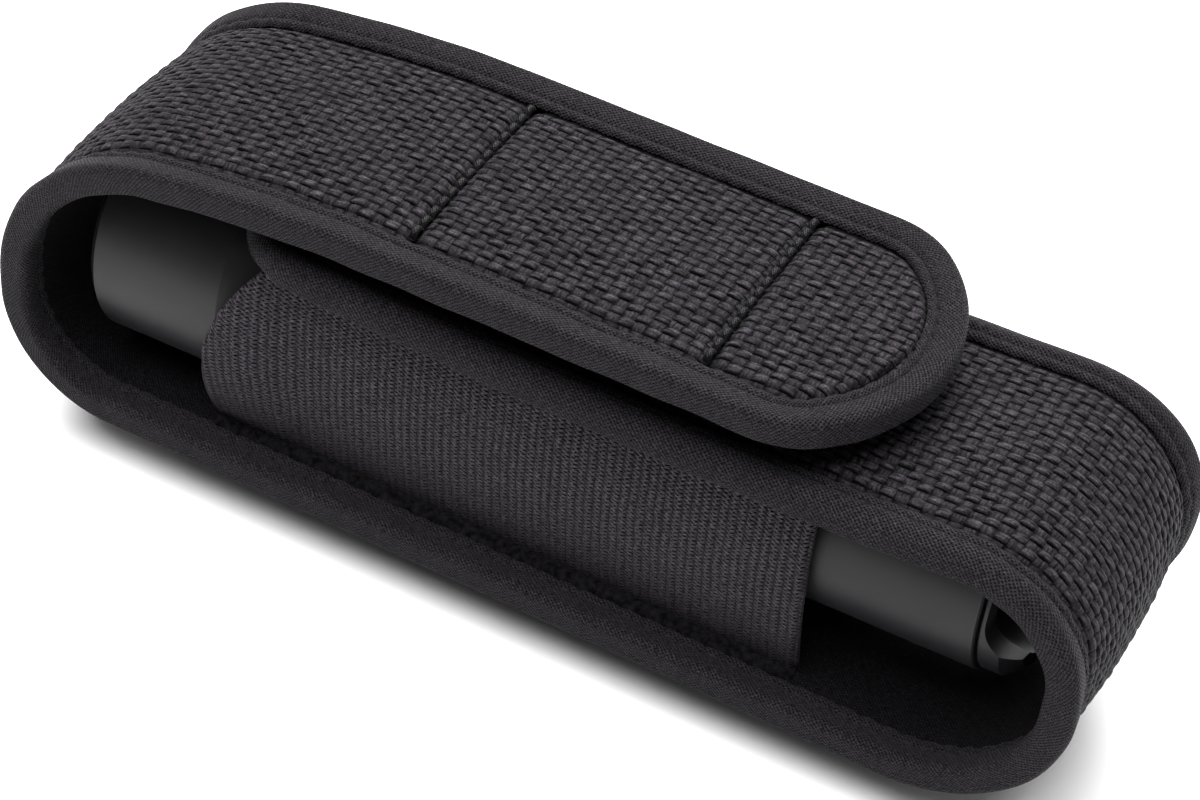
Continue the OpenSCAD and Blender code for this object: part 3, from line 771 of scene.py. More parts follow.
class StripPath:
    """Line of the strip's woven face from the flap's tip round the holster to the front panel's mouth."""

    SAMPLE = 0.1 * MM

    def __init__(self, size: HolsterSizes) -> None:
        """Lays the runs end to end.

        Args:
            size: The strip's driving sizes.
        """
        self.size = size
        flap_h = size.flap_z - size.back_z
        slope = size.flap_slope
        crown_r = (size.flap_level_x - size.left_x - size.mouth_top_r * (1 - math.sin(slope))) / math.sin(slope)
        crown_c = (size.flap_level_x, flap_h - crown_r)
        drop = crown_r * (1 - math.cos(slope)) + size.mouth_top_r * math.cos(slope)
        top_c = (size.left_x + size.mouth_top_r, flap_h - drop)
        low_c = (size.left_x + size.mouth_low_r, size.mouth_low_r)
        closed_c = (size.right_x - size.closed_low_r, size.closed_low_r)
        sag_c = (size.sag_x, size.sag_low + size.sag_r)
        reach = size.right_x - size.closed_top_r - size.sag_x
        both_r = size.sag_r + size.closed_top_r
        sag_a = math.asin(reach / both_r)
        round_c = (size.right_x - size.closed_top_r, sag_c[1] - both_r * math.cos(sag_a))
        mouth_a = -QUARTER - math.asin((size.sag_x - size.mouth_x) / size.sag_r)
        runs = {
            "flap": self.line((size.tip_x, flap_h), (size.flap_level_x, flap_h), (0, 1)),
            "crown": self.arc(crown_c, crown_r, QUARTER, QUARTER + slope),
            "mouth_top": self.arc(top_c, size.mouth_top_r, QUARTER + slope, 2 * QUARTER),
            "wall": self.line((size.left_x, top_c[1]), (size.left_x, low_c[1]), (-1, 0)),
            "mouth_low": self.arc(low_c, size.mouth_low_r, 2 * QUARTER, 3 * QUARTER),
            "back": self.line((low_c[0], 0), (closed_c[0], 0), (0, -1)),
            "closed_low": self.arc(closed_c, size.closed_low_r, -QUARTER, 0),
            "closed_wall": self.line((size.right_x, closed_c[1]), (size.right_x, round_c[1]), (1, 0)),
            "closed_top": self.arc(round_c, size.closed_top_r, 0, QUARTER + sag_a),
            "front": self.arc(sag_c, size.sag_r, sag_a - QUARTER, mouth_a, hollow=True),
        }
        self.line_xz = np.concatenate([run[0] for run in runs.values()])
        self.normal = np.concatenate([run[1] for run in runs.values()])
        self.s = lengths_along(self.line_xz)
        ends = np.cumsum([len(run[0]) for run in runs.values()])
        self.span = {name: (self.s[e - len(runs[name][0])], self.s[e - 1]) for name, e in zip(runs, ends)}
        self.total = self.s[-1]
        rise = size.tip_l - size.tip_corner_r
        self.nose_r = (size.tip_l**2 + self.tip_y**2 - size.tip_corner_r**2) / (2 * rise)
        self.nose_a = math.atan2(self.tip_y, self.nose_r - size.tip_l)

    @property
    def tip_y(self) -> float:
        """Distance of the tip's corner centres from the middle."""
        return self.size.half_w - self.size.tip_corner_r

    def line(self, start: tuple, end: tuple, normal: tuple) -> tuple[np.ndarray, np.ndarray]:
        """Points and outward directions of a straight run."""
        count = max(int(math.dist(start, end) / self.SAMPLE), 1) + 1
        return np.linspace(start, end, count), np.tile(np.array(normal, float), (count, 1))

    def arc(
        self, c: tuple, r: float, a0: float, a1: float, hollow: bool = False, count: int = 0
    ) -> tuple[np.ndarray, np.ndarray]:
        """Points and outward directions of a round run about c.

        Args:
            c: Centre in X and height over the back.
            r: Radius.
            a0: First angle, in radians.
            a1: Last angle.
            hollow: True where the directions point to the centre.
            count: How many points, if not as many as the run's length asks for.

        Returns:
            The points and the directions.
        """
        turn = np.linspace(a0, a1, count or max(int(abs(a1 - a0) * r / self.SAMPLE), 2) + 1)
        out = stacked(np.cos(turn), np.sin(turn))
        return np.array(c) + r * out, -out if hollow else out

    def place(self, s: np.ndarray, y: np.ndarray, h: np.ndarray) -> np.ndarray:
        """Points in the part's frame for strip coordinates.

        Args:
            s: Places along the strip.
            y: Places across it.
            h: Heights over the woven face.

        Returns:
            The points, with one more axis of 3.
        """
        x, z, nx, nz = (np.interp(s, self.s, column) for column in (*self.line_xz.T, *self.normal.T))
        return stacked(x + h * nx, y, self.size.back_z + z + h * nz)

    def front_s(self, x: float) -> float:
        """Place along the strip of an x on the front panel."""
        inside = self.s >= self.span["front"][0]
        return float(np.interp(-x, -self.line_xz[inside, 0], self.s[inside]))

    def back_s(self, x: float) -> float:
        """Place along the strip of an x on the back."""
        return self.span["back"][0] + x - (self.size.left_x + self.size.mouth_low_r)

    def half_width(self, s: np.ndarray, inset: float) -> np.ndarray:
        """Half of the strip's width, drawn in from its edge.

        Args:
            s: Places along the strip.
            inset: Distance in from the edge.

        Returns:
            The half width at each place.
        """
        size = self.size
        corner_r = size.tip_corner_r - inset
        nose = np.sqrt(np.maximum((self.nose_r - inset) ** 2 - (self.nose_r - s) ** 2, 0.0))
        corner = self.tip_y + np.sqrt(np.maximum(corner_r**2 - (size.tip_l - s) ** 2, 0.0))
        turn = size.tip_l - corner_r * math.cos(self.nose_a)
        wide = np.where(s < size.tip_l, np.where(s < turn, nose, corner), size.half_w - inset)
        left = self.total - s
        mouth_r = size.mouth_corner_r
        rounded = np.sqrt(np.maximum((mouth_r - inset) ** 2 - (mouth_r - left) ** 2, 0.0))
        return np.where(left < mouth_r, size.half_w - mouth_r + rounded, wide)

    def round_edge(self, c: tuple, r: float, a0: float, a1: float) -> tuple[np.ndarray, np.ndarray]:
        """Places and inward directions of a round stretch of edge, with its angles in radians."""
        return self.arc(c, r, a0, a1, hollow=True, count=40)

    def straight_edge(self, start: tuple, end: tuple, inward: tuple) -> tuple[np.ndarray, np.ndarray]:
        """Places and inward directions of a straight stretch of edge."""
        return np.array([start, end], float), np.array([inward, inward], float)

    def chain(self, *stretches: tuple[np.ndarray, np.ndarray], way: float = 1.0) -> Edge:
        """One edge of stretches end to end, with s turned round where way is -1."""
        return Edge(*(np.concatenate(parts) * (way, 1.0) for parts in zip(*stretches)))

    def tip_edge(self, s_end: float) -> Edge:
        """Edge of the flap: up the near side, round the tip and back down the far side to s_end."""
        w, tip_l, r, a = self.size.half_w, self.size.tip_l, self.size.tip_corner_r, self.nose_a
        return self.chain(
            self.straight_edge((-s_end, -w), (-tip_l, -w), (0, 1)),
            self.round_edge((-tip_l, -self.tip_y), r, -QUARTER, -a),
            self.round_edge((-self.nose_r, 0.0), self.nose_r, -a, a),
            self.round_edge((-tip_l, self.tip_y), r, a, QUARTER),
            self.straight_edge((-tip_l, w), (-s_end, w), (0, -1)),
            way=-1.0,
        )

    def mouth_edge(self, s_start: float) -> Edge:
        """Edge of the back and front: along the near side, round the mouth and back along the far side."""
        w, r, end = self.size.half_w, self.size.mouth_corner_r, self.total
        return self.chain(
            self.straight_edge((s_start, -w), (end - r, -w), (0, 1)),
            self.round_edge((end - r, r - w), r, -QUARTER, 0.0),
            self.round_edge((end - r, w - r), r, 0.0, QUARTER),
            self.straight_edge((end - r, w), (s_start, w), (0, -1)),
        )

    def side_edge(self, s0: float, s1: float, side: int) -> Edge:
        """Straight edge between two places, on the near side (-1) or the far one (1)."""
        w = side * self.size.half_w
        return Edge(*self.straight_edge((s0, w), (s1, w), (0, -side)))


@dataclass(frozen=True)
class BasketWeave:
    """Relief of the woven face: thick yarns along the strip, over and under thick yarns across it."""

    pitch_along: float = 1.64 * MM
    pitch_across: float = 1.08 * MM
    wave: float = 0.15 * MM
    dome: float = 0.17 * MM
    pillow: float = 5.0
    sunk: float = 0.08 * MM
    under: float = 0.3
    slit: float = 0.22 * MM
    slit_w: float = 0.2
    slant: float = 0.35
    plateau: float = 0.6
    wander: float = 0.16 * MM

    def places(self, s: np.ndarray, y: np.ndarray) -> tuple[np.ndarray, np.ndarray]:
        """Yarn places of points on the strip, which wander a little.

        Args:
            s: Places along the strip.
            y: Places across it.

        Returns:
            The places counted along both yarns.
        """
        return s + self.wander * ripple(s, y, 17 * MM), y + self.wander * ripple(y, s, 23 * MM)

    def relief(self, u: np.ndarray, v: np.ndarray) -> np.ndarray:
        """Height of the yarns.

        Args:
            u: Yarn places along the strip.
            v: Yarn places across it.

        Returns:
            The height over the plain face.
        """
        row = np.round(v / self.pitch_across)
        off = v / self.pitch_across - row
        column = np.round(u / self.pitch_along)
        beside = u / self.pitch_along - column
        lean = u / self.pitch_along + off * self.slant * self.pitch_across / self.pitch_along
        swell = 1 + 0.14 * np.sin(12.9 * row + 4.1) + 0.1 * np.sin(7.3 * column + 2.2 * row)
        up_along = self.flattened(np.cos(math.pi * (lean + row)))
        up_across = self.flattened(np.cos(math.pi * (v / self.pitch_across + column + 1)))
        domes = (self.dome * (1 - np.abs(2 * part) ** self.pillow) for part in (off, beside))
        along, across = (swell * (self.wave * up + dome) for up, dome in zip((up_along, up_across), domes))
        across = across - self.sunk
        slit = self.slit * np.clip(1.4 * up_along, 0.0, 1.0) * np.exp(-(((off + 0.5) / self.slit_w) ** 2))
        return np.maximum(along, across) - slit - 0.6 * (self.wave + self.dome)

    def flattened(self, wave: np.ndarray) -> np.ndarray:
        """A wave with broad crests and hollows."""
        return np.sign(wave) * np.abs(wave) ** self.plateau


@dataclass(frozen=True)
class StretchOnHinge:
    """What carries a stretch of the strip: one body, or two with the places between which it bends."""

    first: str
    second: str = ""
    start: tuple[float, float, float] = (0, 0, 0)
    end: tuple[float, float, float] = (0, 0, 0)

    def carry(self, piece: bpy.types.Object, finish: Finish, slot: str, *nodes: str) -> None:
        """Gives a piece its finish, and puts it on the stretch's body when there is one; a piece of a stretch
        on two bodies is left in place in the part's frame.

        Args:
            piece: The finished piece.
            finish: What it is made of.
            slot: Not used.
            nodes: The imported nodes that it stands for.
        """
        piece.data.materials.append(finish.material())
        if self.second:
            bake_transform(piece)
        else:
            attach(piece, self.first)
        if nodes:
            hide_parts(*nodes)
        LOG.info("%s: %d points", piece.name, len(piece.data.vertices))


@dataclass
class Strip:
    """The holster's padded strip: woven face, lining, binding tape and stitches, stretch by stretch."""

    path: StripPath
    weave: BasketWeave = field(default_factory=BasketWeave)
    back_x: float = -50 * MM
    crown: float = 0.8 * MM
    under_tape: float = 0.6 * MM
    face_h: float = -1.3 * MM
    fine_s: float = 0.27 * MM
    fine_y: float = 0.27 * MM
    coarse_s: float = 0.41 * MM
    lining_s: float = 0.9 * MM
    tip_fine: float = 3 * MM
    flat_share: float = 0.25
    flat_w: float = 2.2 * MM
    edge_dip: float = 0.7 * MM
    edge_dip_w: float = 0.9 * MM
    seam_s: tuple[float, float] = (22.8 * MM, 59.4 * MM)
    seam_half: float = 13.6 * MM
    seam_depth: float = 0.8 * MM
    seam_w: float = 0.8 * MM
    seam_pull: float = 0.3 * MM
    seam_pull_w: float = 2.6 * MM
    tape_round: float = 1.0 * MM
    tape_step: float = 0.7 * MM
    tape_uneven: float = 0.12 * MM
    tape_stretch: float = 1.15
    core: tuple[float, float] = (1.4 * MM, 0.6 * MM)
    roll_over: float = 0.2 * MM
    pucker: float = 0.22 * MM
    pucker_reach: tuple[float, float] = (2.2 * MM, 4.4 * MM)
    stitch_pitch: float = 2.8 * MM
    stitch_l: float = 2.0 * MM
    stitch_r: float = 0.24 * MM
    stitch_inset: float = 3.4 * MM
    stitch_dive: float = 0.55 * MM
    thread_h: float = 0.02 * MM

    # Points of the tape's outline, in millimetres: outwards (-) of its inner edge or of its stitches, and up.
    TAPE_LIP = ((0.0, -0.4), (-0.1, 0.12), (-0.6, 0.34))
    TAPE_GROOVE = ((0.35, 0.3), (0.0, 0.0), (-0.45, 0.45))

    def face_height(self, s: np.ndarray, y: np.ndarray) -> tuple[np.ndarray, np.ndarray]:
        """Height of the woven face over its plain surface.

        Args:
            s: Places along the strip.
            y: Places across it.

        Returns:
            The height, and how much painted shade falls in the grooves along the tape and at the seams.
        """
        size = self.path.size
        inside = self.path.half_width(s, size.tape_w) - np.abs(y)
        loose = self.flat_share + (1 - self.flat_share) * smooth_step(0.0, self.flat_w, inside)
        height = self.crown * (1 - (y / (size.half_w - size.tape_w)) ** 2)
        height += loose * self.weave.relief(*self.weave.places(s, y))
        height -= self.edge_dip * np.exp(-((np.maximum(inside, -0.2 * MM) / self.edge_dip_w) ** 2))
        height += 0.1 * MM * ripple(s, y, 31 * MM)
        # Painted shade: dark in the groove along the tape's inner edge, a softer band beside it, and dark in
        # the seams.
        groove = 0.75 * np.exp(-((inside / (0.4 * MM)) ** 2))
        groove += 0.35 * (1 - smooth_step(0.0, 2.0 * MM, inside))
        for seam in self.seam_s:
            away = s - seam
            height -= self.seam_depth * np.exp(-((away / self.seam_w) ** 2))
            height -= self.seam_pull * np.exp(-np.abs(away) / self.seam_pull_w)
            groove = np.maximum(groove, 0.85 * np.exp(-((away / (0.8 * self.seam_w)) ** 2)))
        return height, groove

    def rows_between(self, s0: float, s1: float, step: float, clear: float = 0.0) -> np.ndarray:
        """Even rows between two places, as far as the tape leaves the strip open.

        Args:
            s0: First place along the strip.
            s1: Last place.
            step: Spacing of the rows.
            clear: Distance kept from the tip's tape.

        Returns:
            The rows' places.
        """
        inset = self.path.size.tape_w - self.under_tape
        low, high = max(s0, inset + clear), min(s1, self.path.total - inset)
        return np.linspace(low, high, int(round((high - low) / step)) + 1)

    def grid(self, rows: np.ndarray, count: int) -> tuple[np.ndarray, np.ndarray, np.ndarray]:
        """Grid that reaches under the tape on both sides.

        Args:
            rows: Places along the strip.
            count: How many points lie across it.

        Returns:
            Each point's s and y, and the two points of the foam under each row's ends.
        """
        wide = self.path.half_width(rows, self.path.size.tape_w - self.under_tape)
        s, y = np.broadcast_arrays(rows[:, None], wide[:, None] * np.linspace(-1.0, 1.0, count))
        return s, y, self.path.place(rows[:, None], stacked(-wide, wide), np.full((1, 1), self.face_h))

    def face(self, name: str, s0: float, s1: float, step: float) -> bpy.types.Object:
        """Woven face and the upper half of the foam under it, between two places along the strip.

        Args:
            name: The piece's name.
            s0: First place.
            s1: Last place.
            step: Spacing of the mesh along the strip.

        Returns:
            The new piece.
        """
        rows = self.rows_between(s0, s1, step)
        if s0 <= 0:
            close = rows[0] + self.tip_fine * np.linspace(0.02, 1.0, 16) ** 2
            rows = np.concatenate([close, rows[rows > close[-1] + 0.5 * step]])
        s, y, under = self.grid(rows, int(round(2 * self.path.size.half_w / self.fine_y)) + 1)
        height, groove = self.face_height(s, y)
        piece = slab(name, self.path.place(s, y, height), under, stacked(*self.weave.places(s, y)) / MM)
        # The groove values are stored as painted shade for the woven face's colour.
        add_values(piece, "hollow", groove)
        return piece

    def lining(self, name: str, s0: float, s1: float) -> bpy.types.Object:
        """Fine lining and the lower half of the foam, between two places along the strip."""
        s, y, under = self.grid(self.rows_between(s0, s1, self.lining_s, clear=0.05 * MM), 31)
        height = -self.path.size.strip_t + 0.06 * MM * ripple(s, y, 9 * MM)
        return slab(name, self.path.place(s, y, height), under, stacked(s, y) / MM)

    def tape_section(self, rolled: bool = False) -> np.ndarray:
        """Closed outline of the folded tape.

        Args:
            rolled: True where the edge is drawn down and inwards, so that its outer side is one long round.

        Returns:
            Points: distance in from the edge, and height over the face.
        """
        size = self.path.size
        middle, round_r = -size.strip_t / 2, self.tape_round
        lip = np.array(self.TAPE_LIP) * MM + (size.tape_w, 0.0)
        groove = np.array(self.TAPE_GROOVE) * MM + (self.stitch_inset, 0.0)
        turn = np.linspace(0.0, QUARTER, 9)
        rim = stacked(round_r * (1 - np.sin(turn)), size.tape_t - round_r * (1 - np.cos(turn)))
        upper = np.concatenate([lip, groove, rim])
        lower = upper[::-1] * (1.0, -1.0) + (0.0, 2 * middle)
        if rolled:
            turn = np.linspace(0.05, 0.5, len(rim)) * math.pi
            wide, high = groove[-1]
            deep = size.strip_t + self.roll_over
            upper[-len(rim):] = stacked(wide * (1 - np.sin(turn)), high - deep * (1 - np.cos(turn)))
        inset, half = self.core
        return np.concatenate([upper, lower, [(inset, middle - half), (inset, middle + half)]])

    def tape(self, name: str, edges: list[Edge]) -> bpy.types.Object:
        """Binding tape folded over edges, drawn in a little at each stitch, and rolled on the front.

        Args:
            name: The piece's name.
            edges: The edges that it covers.

        Returns:
            The new piece.
        """
        span, flat, rolled = self.path.span, self.tape_section(), self.tape_section(rolled=True)
        side = np.where(flat[:, 1] > -self.path.size.strip_t / 2, -1.0, 1.0)[None]
        pieces = []
        for edge in edges:
            line = edge.resampled(self.tape_step)
            length = line.length[:, None]
            turns = round(float(line.length[-1]) / self.stitch_pitch)
            held = (0.5 + 0.5 * np.cos(2 * math.pi * turns * length / line.length[-1])) ** 2
            share = smooth_step(span["closed_top"][0], span["front"][0], line.place[:, :1])
            inset, height = (flat[None, :, k] + share * (rolled - flat)[None, :, k] for k in (0, 1))
            puckered = smooth_step(*self.pucker_reach, inset) * self.pucker * held
            waves = ripple(line.place[:, :1], line.place[:, 1:] + 3 * flat[None, :, 1], 21 * MM)
            uneven = self.tape_uneven * waves
            h = height + side * puckered + uneven
            s, y = edge.at(np.repeat(length, len(flat), axis=1), inset + 0.5 * uneven)
            steps = np.hypot(*(np.diff(part, axis=1, prepend=part[:, :1]) for part in (inset, height)))
            uv = stacked(length, self.tape_stretch * np.cumsum(steps, axis=1)) / MM
            pieces.append(tubes(name, self.path.place(s, y, h)[None], uv))
        return join(pieces)

    def stitches(self, name: str, edges: list[Edge], inset: float, crest: float) -> bpy.types.Object:
        """A row of stitches along edges, each a short thread that dives in at both ends.

        Args:
            name: The piece's name.
            edges: The lines that they follow.
            inset: Distance in from those lines.
            crest: Height of the threads' crests over the woven face.

        Returns:
            The new piece.
        """
        turn = np.linspace(0, 2 * math.pi, 6, endpoint=False)
        along = np.linspace(0.0, 1.0, 7)
        pieces = []
        inward = -1.0 if crest > -self.path.size.strip_t / 2 else 1.0
        dive = self.stitch_dive * np.abs(2 * along - 1) ** 3
        e = inset + self.stitch_r * np.cos(turn)
        h = crest + inward * dive[:, None] + self.stitch_r * np.sin(turn)
        for edge in edges:
            total = float(edge.length[-1])
            turns = round(total / self.stitch_pitch)
            start = total / turns * np.arange(turns) + 0.5 * (self.stitch_pitch - self.stitch_l)
            length = start[:, None, None] + self.stitch_l * along[:, None]
            s, y = edge.at(*np.broadcast_arrays(length, e))
            uv = stacked(length, turn * self.stitch_r) / MM
            pieces.append(tubes(name, self.path.place(s, y, h), uv))
        return join(pieces)

    def build(self) -> None:
        """Builds every stretch and hands each piece to what carries it."""
        path = self.path
        middle = float(np.mean(path.span["wall"]))
        back, turn, end = path.back_s(self.back_x), path.span["back"][1], path.total
        flap = StretchOnHinge("end_wall", "flap", (-68 * MM, 0, 35.3 * MM), (-59.5 * MM, 0, 45.3 * MM))
        bend = StretchOnHinge("holster", "end_wall", (-58 * MM, 0, 8.5 * MM), (-68.5 * MM, 0, 17 * MM))
        shell = StretchOnHinge("holster")
        sides = [path.side_edge(middle, back, side) for side in (-1, 1)]

        self.add_face("flap_face", flap, (0.0, middle, self.fine_s), "flap", "end")
        self.add_trim("flap", flap, (0.0, middle), [path.tip_edge(middle)], "flap", "end")
        flap.carry(self.cross_stitches(), BEAD_THREAD, "binding_tape")
        self.add_face("bend_face", bend, (middle, back, self.coarse_s), "end")
        self.add_trim("bend", bend, (middle, back), sides, "end")
        self.add_face("back_face", shell, (back, turn, self.coarse_s), "shell")
        self.add_face("front_face", shell, (turn, end, self.fine_s), "shell")
        self.add_trim("shell", shell, (back, end), [path.mouth_edge(back)], "shell")

    def add_face(self, name: str, on: StretchOnHinge, reach: tuple[float, float, float], *parts: str) -> None:
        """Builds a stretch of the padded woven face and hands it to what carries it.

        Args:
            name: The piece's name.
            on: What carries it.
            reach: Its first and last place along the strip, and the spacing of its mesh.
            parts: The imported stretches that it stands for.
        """
        face = self.face(name, *reach)
        nodes = [f"{part}_{layer}" for part in parts for layer in ("outer", "stiffener")]
        on.carry(face, NYLON, "woven_nylon", *nodes)

    def add_trim(
        self, word: str, on: StretchOnHinge, reach: tuple[float, float], edges: list[Edge], *parts: str
    ) -> None:
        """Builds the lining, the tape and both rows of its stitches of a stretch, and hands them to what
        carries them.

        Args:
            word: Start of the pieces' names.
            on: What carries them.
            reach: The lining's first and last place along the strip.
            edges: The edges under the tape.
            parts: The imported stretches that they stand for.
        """
        inside = self.lining(f"{word}_inside", *reach)
        on.carry(inside, LINING, "lining_cloth", *(f"{part}_lining" for part in parts))
        on.carry(self.tape(f"{word}_tape", edges), TAPE, "binding_tape", *(f"{part}_binding" for part in parts))
        under = -self.path.size.strip_t - self.thread_h
        # The outer stitches sit in the tape's groove and take the thread with painted shade.
        for name, crest, thread in (("", self.thread_h, SHADED_THREAD), ("inner_", under, THREAD)):
            row = self.stitches(f"{word}_{name}stitches", edges, self.stitch_inset, crest)
            on.carry(row, thread, "binding_tape")

    def cross_stitches(self) -> bpy.types.Object:
        """The two seams across the flap, which hold the hook tape under it, in thick beads of thread."""
        ahead = np.array([(1.0, 0.0)] * 2)
        seams = [Edge(np.array([(s, -self.seam_half), (s, self.seam_half)]), ahead) for s in self.seam_s]
        row = Strip(self.path, stitch_pitch=2.0 * MM, stitch_l=1.7 * MM, stitch_r=0.5 * MM)
        return row.stitches("flap_cross_stitches", seams, inset=0.0, crest=0.25 * MM)


@dataclass
class Closure:
    """Hook tape under the flap and loop tape on the front panel."""

    path: StripPath
    half_w: float = 12.5 * MM
    step: float = 0.4 * MM
    edge_w: float = 0.8 * MM
    loop_t: float = 1.95 * MM
    loop_nap: float = 0.1 * MM
    hook_seat: float = 0.1 * MM
    hook_over: float = 2.62 * MM
    hook_nap: float = 0.05 * MM
    hook_h: float = 0.12 * MM
    hook_pitch: float = 2.0 * MM

    def patch(
        self,
        name: str,
        reach: tuple[float, float],
        base: float,
        top: Callable[[np.ndarray], np.ndarray],
        nap: float,
        hooks: float = 0.0,
    ) -> bpy.types.Object:
        """A napped patch on the strip.

        Args:
            name: The piece's name.
            reach: First and last place along the strip.
            base: Height of its seat over the woven face.
            top: Height of its nap at places along the strip.
            nap: Depth of the nap's unevenness.
            hooks: Depth of its rows of hooks.

        Returns:
            The new piece.
        """
        rows = np.linspace(*reach, int((reach[1] - reach[0]) / self.step) + 1)
        across = np.linspace(-self.half_w, self.half_w, int(2 * self.half_w / self.step) + 1)
        s, y = np.meshgrid(rows, across, indexing="ij")
        edge = np.minimum(self.half_w - np.abs(y), np.minimum(s - rows[0], rows[-1] - s))
        rounded = 1 - smooth_step(0.0, self.edge_w, edge)
        turn = 2 * math.pi / self.hook_pitch
        h = top(s) + nap * (ripple(s, y, 1.9 * MM) + ripple(y, s, 1.1 * MM))
        h = h + hooks * np.sin(turn * s) * np.sin(turn * y)
        h = h + (base - h) * 0.6 * rounded
        under = self.path.place(rows[:, None], across[None, [0, -1]], np.full((1, 1), base))
        return slab(name, self.path.place(s, y, h), under, stacked(s, y) / MM)

    def hook_height(self, s: np.ndarray) -> np.ndarray:
        """Height of the hooks' tips, just over the loop tape."""
        size = self.path.size
        x = size.tip_x - s
        front = size.sag_low + size.sag_r - np.sqrt(size.sag_r**2 - (x - size.sag_x) ** 2)
        return front + self.hook_over - (size.flap_z - size.back_z)

    def build(self) -> None:
        """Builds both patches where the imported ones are."""
        path, size = self.path, self.path.size
        low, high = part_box("loop_patch")
        reach = (path.front_s(high.x), path.front_s(low.x))
        loop = self.patch("loop_pad", reach, 0.0, lambda s: np.full_like(s, self.loop_t), self.loop_nap)
        StretchOnHinge("holster").carry(loop, LOOP, "loop_tape", "loop_patch")
        low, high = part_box("hook_patch")
        reach = (size.tip_x - high.x, size.tip_x - low.x)
        seat = -size.strip_t + self.hook_seat
        hook = self.patch("hook_pad", reach, seat, self.hook_height, self.hook_nap, self.hook_h)
        StretchOnHinge("flap").carry(hook, HOOK, "hook_tape", "hook_patch")


@dataclass
class ElasticSide:
    """Ribbed elastic panel between the back and the front panel, with its matted hem on the back's lining."""

    path: StripPath
    side: int
    foot_x: float = -43 * MM
    top_x: float = -31 * MM
    end_x: float = 36 * MM
    foot_y: float = 12.8 * MM
    top_y: float = 13.4 * MM
    swell: float = 1.6 * MM
    head_swell: float = 4.2 * MM
    thick: float = 1.2 * MM
    mesh: tuple[int, int] = (480, 60)
    rib: float = 1.1 * MM
    rib_h: float = 0.26 * MM
    rib_wander: float = 0.1 * MM
    top_gap: float = 0.1 * MM
    edge_round: float = 0.35 * MM
    edge_w: float = 0.7 * MM
    hem_h: float = 0.75 * MM
    hem_in: float = 0.9 * MM
    hem_out: float = 0.3 * MM
    hem_seat: float = 0.3 * MM
    fluff: float = 0.18 * MM

    @property
    def word(self) -> str:
        """The side, for the pieces' names."""
        return "near" if self.side < 0 else "far"

    def build(self) -> None:
        """Builds the panel and its hem."""
        size = self.path.size
        t, s = np.meshgrid(*(np.linspace(0.0, 1.0, count) for count in self.mesh), indexing="ij")
        left = self.foot_x + (self.top_x - self.foot_x) * s**3
        x = left + (self.end_x - left) * t
        floor_z, under_r = size.back_z + size.strip_t, size.sag_r + size.strip_t
        roof = size.back_z + size.sag_low + size.sag_r - np.sqrt(under_r**2 - (x - size.sag_x) ** 2)
        z = floor_z + (roof - self.top_gap - floor_z) * s
        past_head = smooth_step(0.0, size.mouth_corner_r, x - size.mouth_x)
        bulge = self.head_swell + (self.swell - self.head_swell) * past_head
        turn = math.pi * (x + self.rib_wander * ripple(x, z, 14 * MM)) / self.rib
        ribs = np.abs(np.cos(turn)) ** 0.7 * (0.8 + 0.2 * np.cos(turn))
        edge = np.minimum(x - left, self.end_x - x)
        relief = self.rib_h * (ribs - 1) - self.edge_round * (1 - smooth_step(0.0, self.edge_w, edge))
        y = self.foot_y + (self.top_y - self.foot_y) * s + 4 * bulge * s * (1 - s)
        top, under = (stacked(x, self.side * out, z) for out in (y + relief, y - self.thick))
        uv = stacked(x + self.rib / 4, 1.8 * z) / MM
        panel = two_sided(f"elastic_{self.word}_panel", top, under, uv)
        # Painted shade: darker between the ribs and towards the panel's foot, stored for the elastic's colour.
        shade = 0.45 * (1 - smooth_step(0.0, 0.4, s))
        add_values(panel, "hollow", np.maximum(0.8 * (1 - np.abs(np.cos(turn))) ** 2, shade))
        StretchOnHinge("holster").carry(panel, ELASTIC, "elastic", f"elastic_{self.word}")
        StretchOnHinge("holster").carry(self.hem(floor_z), HEM, "elastic")

    def hem(self, floor_z: float) -> bpy.types.Object:
        """Matted turned-out hem along the panel's foot.

        Args:
            floor_z: Height of the lining that it lies on.

        Returns:
            The new piece.
        """
        size = self.path.size
        rows = np.linspace(self.foot_x, self.end_x, 270)
        x, t = np.meshgrid(rows, np.linspace(0.0, 1.0, 15), indexing="ij")
        inner, outer = self.foot_y - self.hem_in, size.half_w - size.tape_w + self.hem_out
        y = inner + (outer - inner) * t
        arch = np.sqrt(np.clip(1 - (2 * t - 1) ** 2, 0.0, 1.0))
        ends = smooth_step(0.0, 2 * MM, np.minimum(x - rows[0], rows[-1] - x))
        fluff = self.fluff * (ripple(x, y, 2.3 * MM) + ripple(y, x, 1.3 * MM))
        z = floor_z + arch * (self.hem_h + fluff) * (0.3 + 0.7 * ends)
        low = stacked(rows[:, None], self.side * np.array([inner, outer]), floor_z - self.hem_seat)
        return slab(f"elastic_{self.word}_hem", stacked(x, self.side * y, z), low, stacked(x, y) / MM)


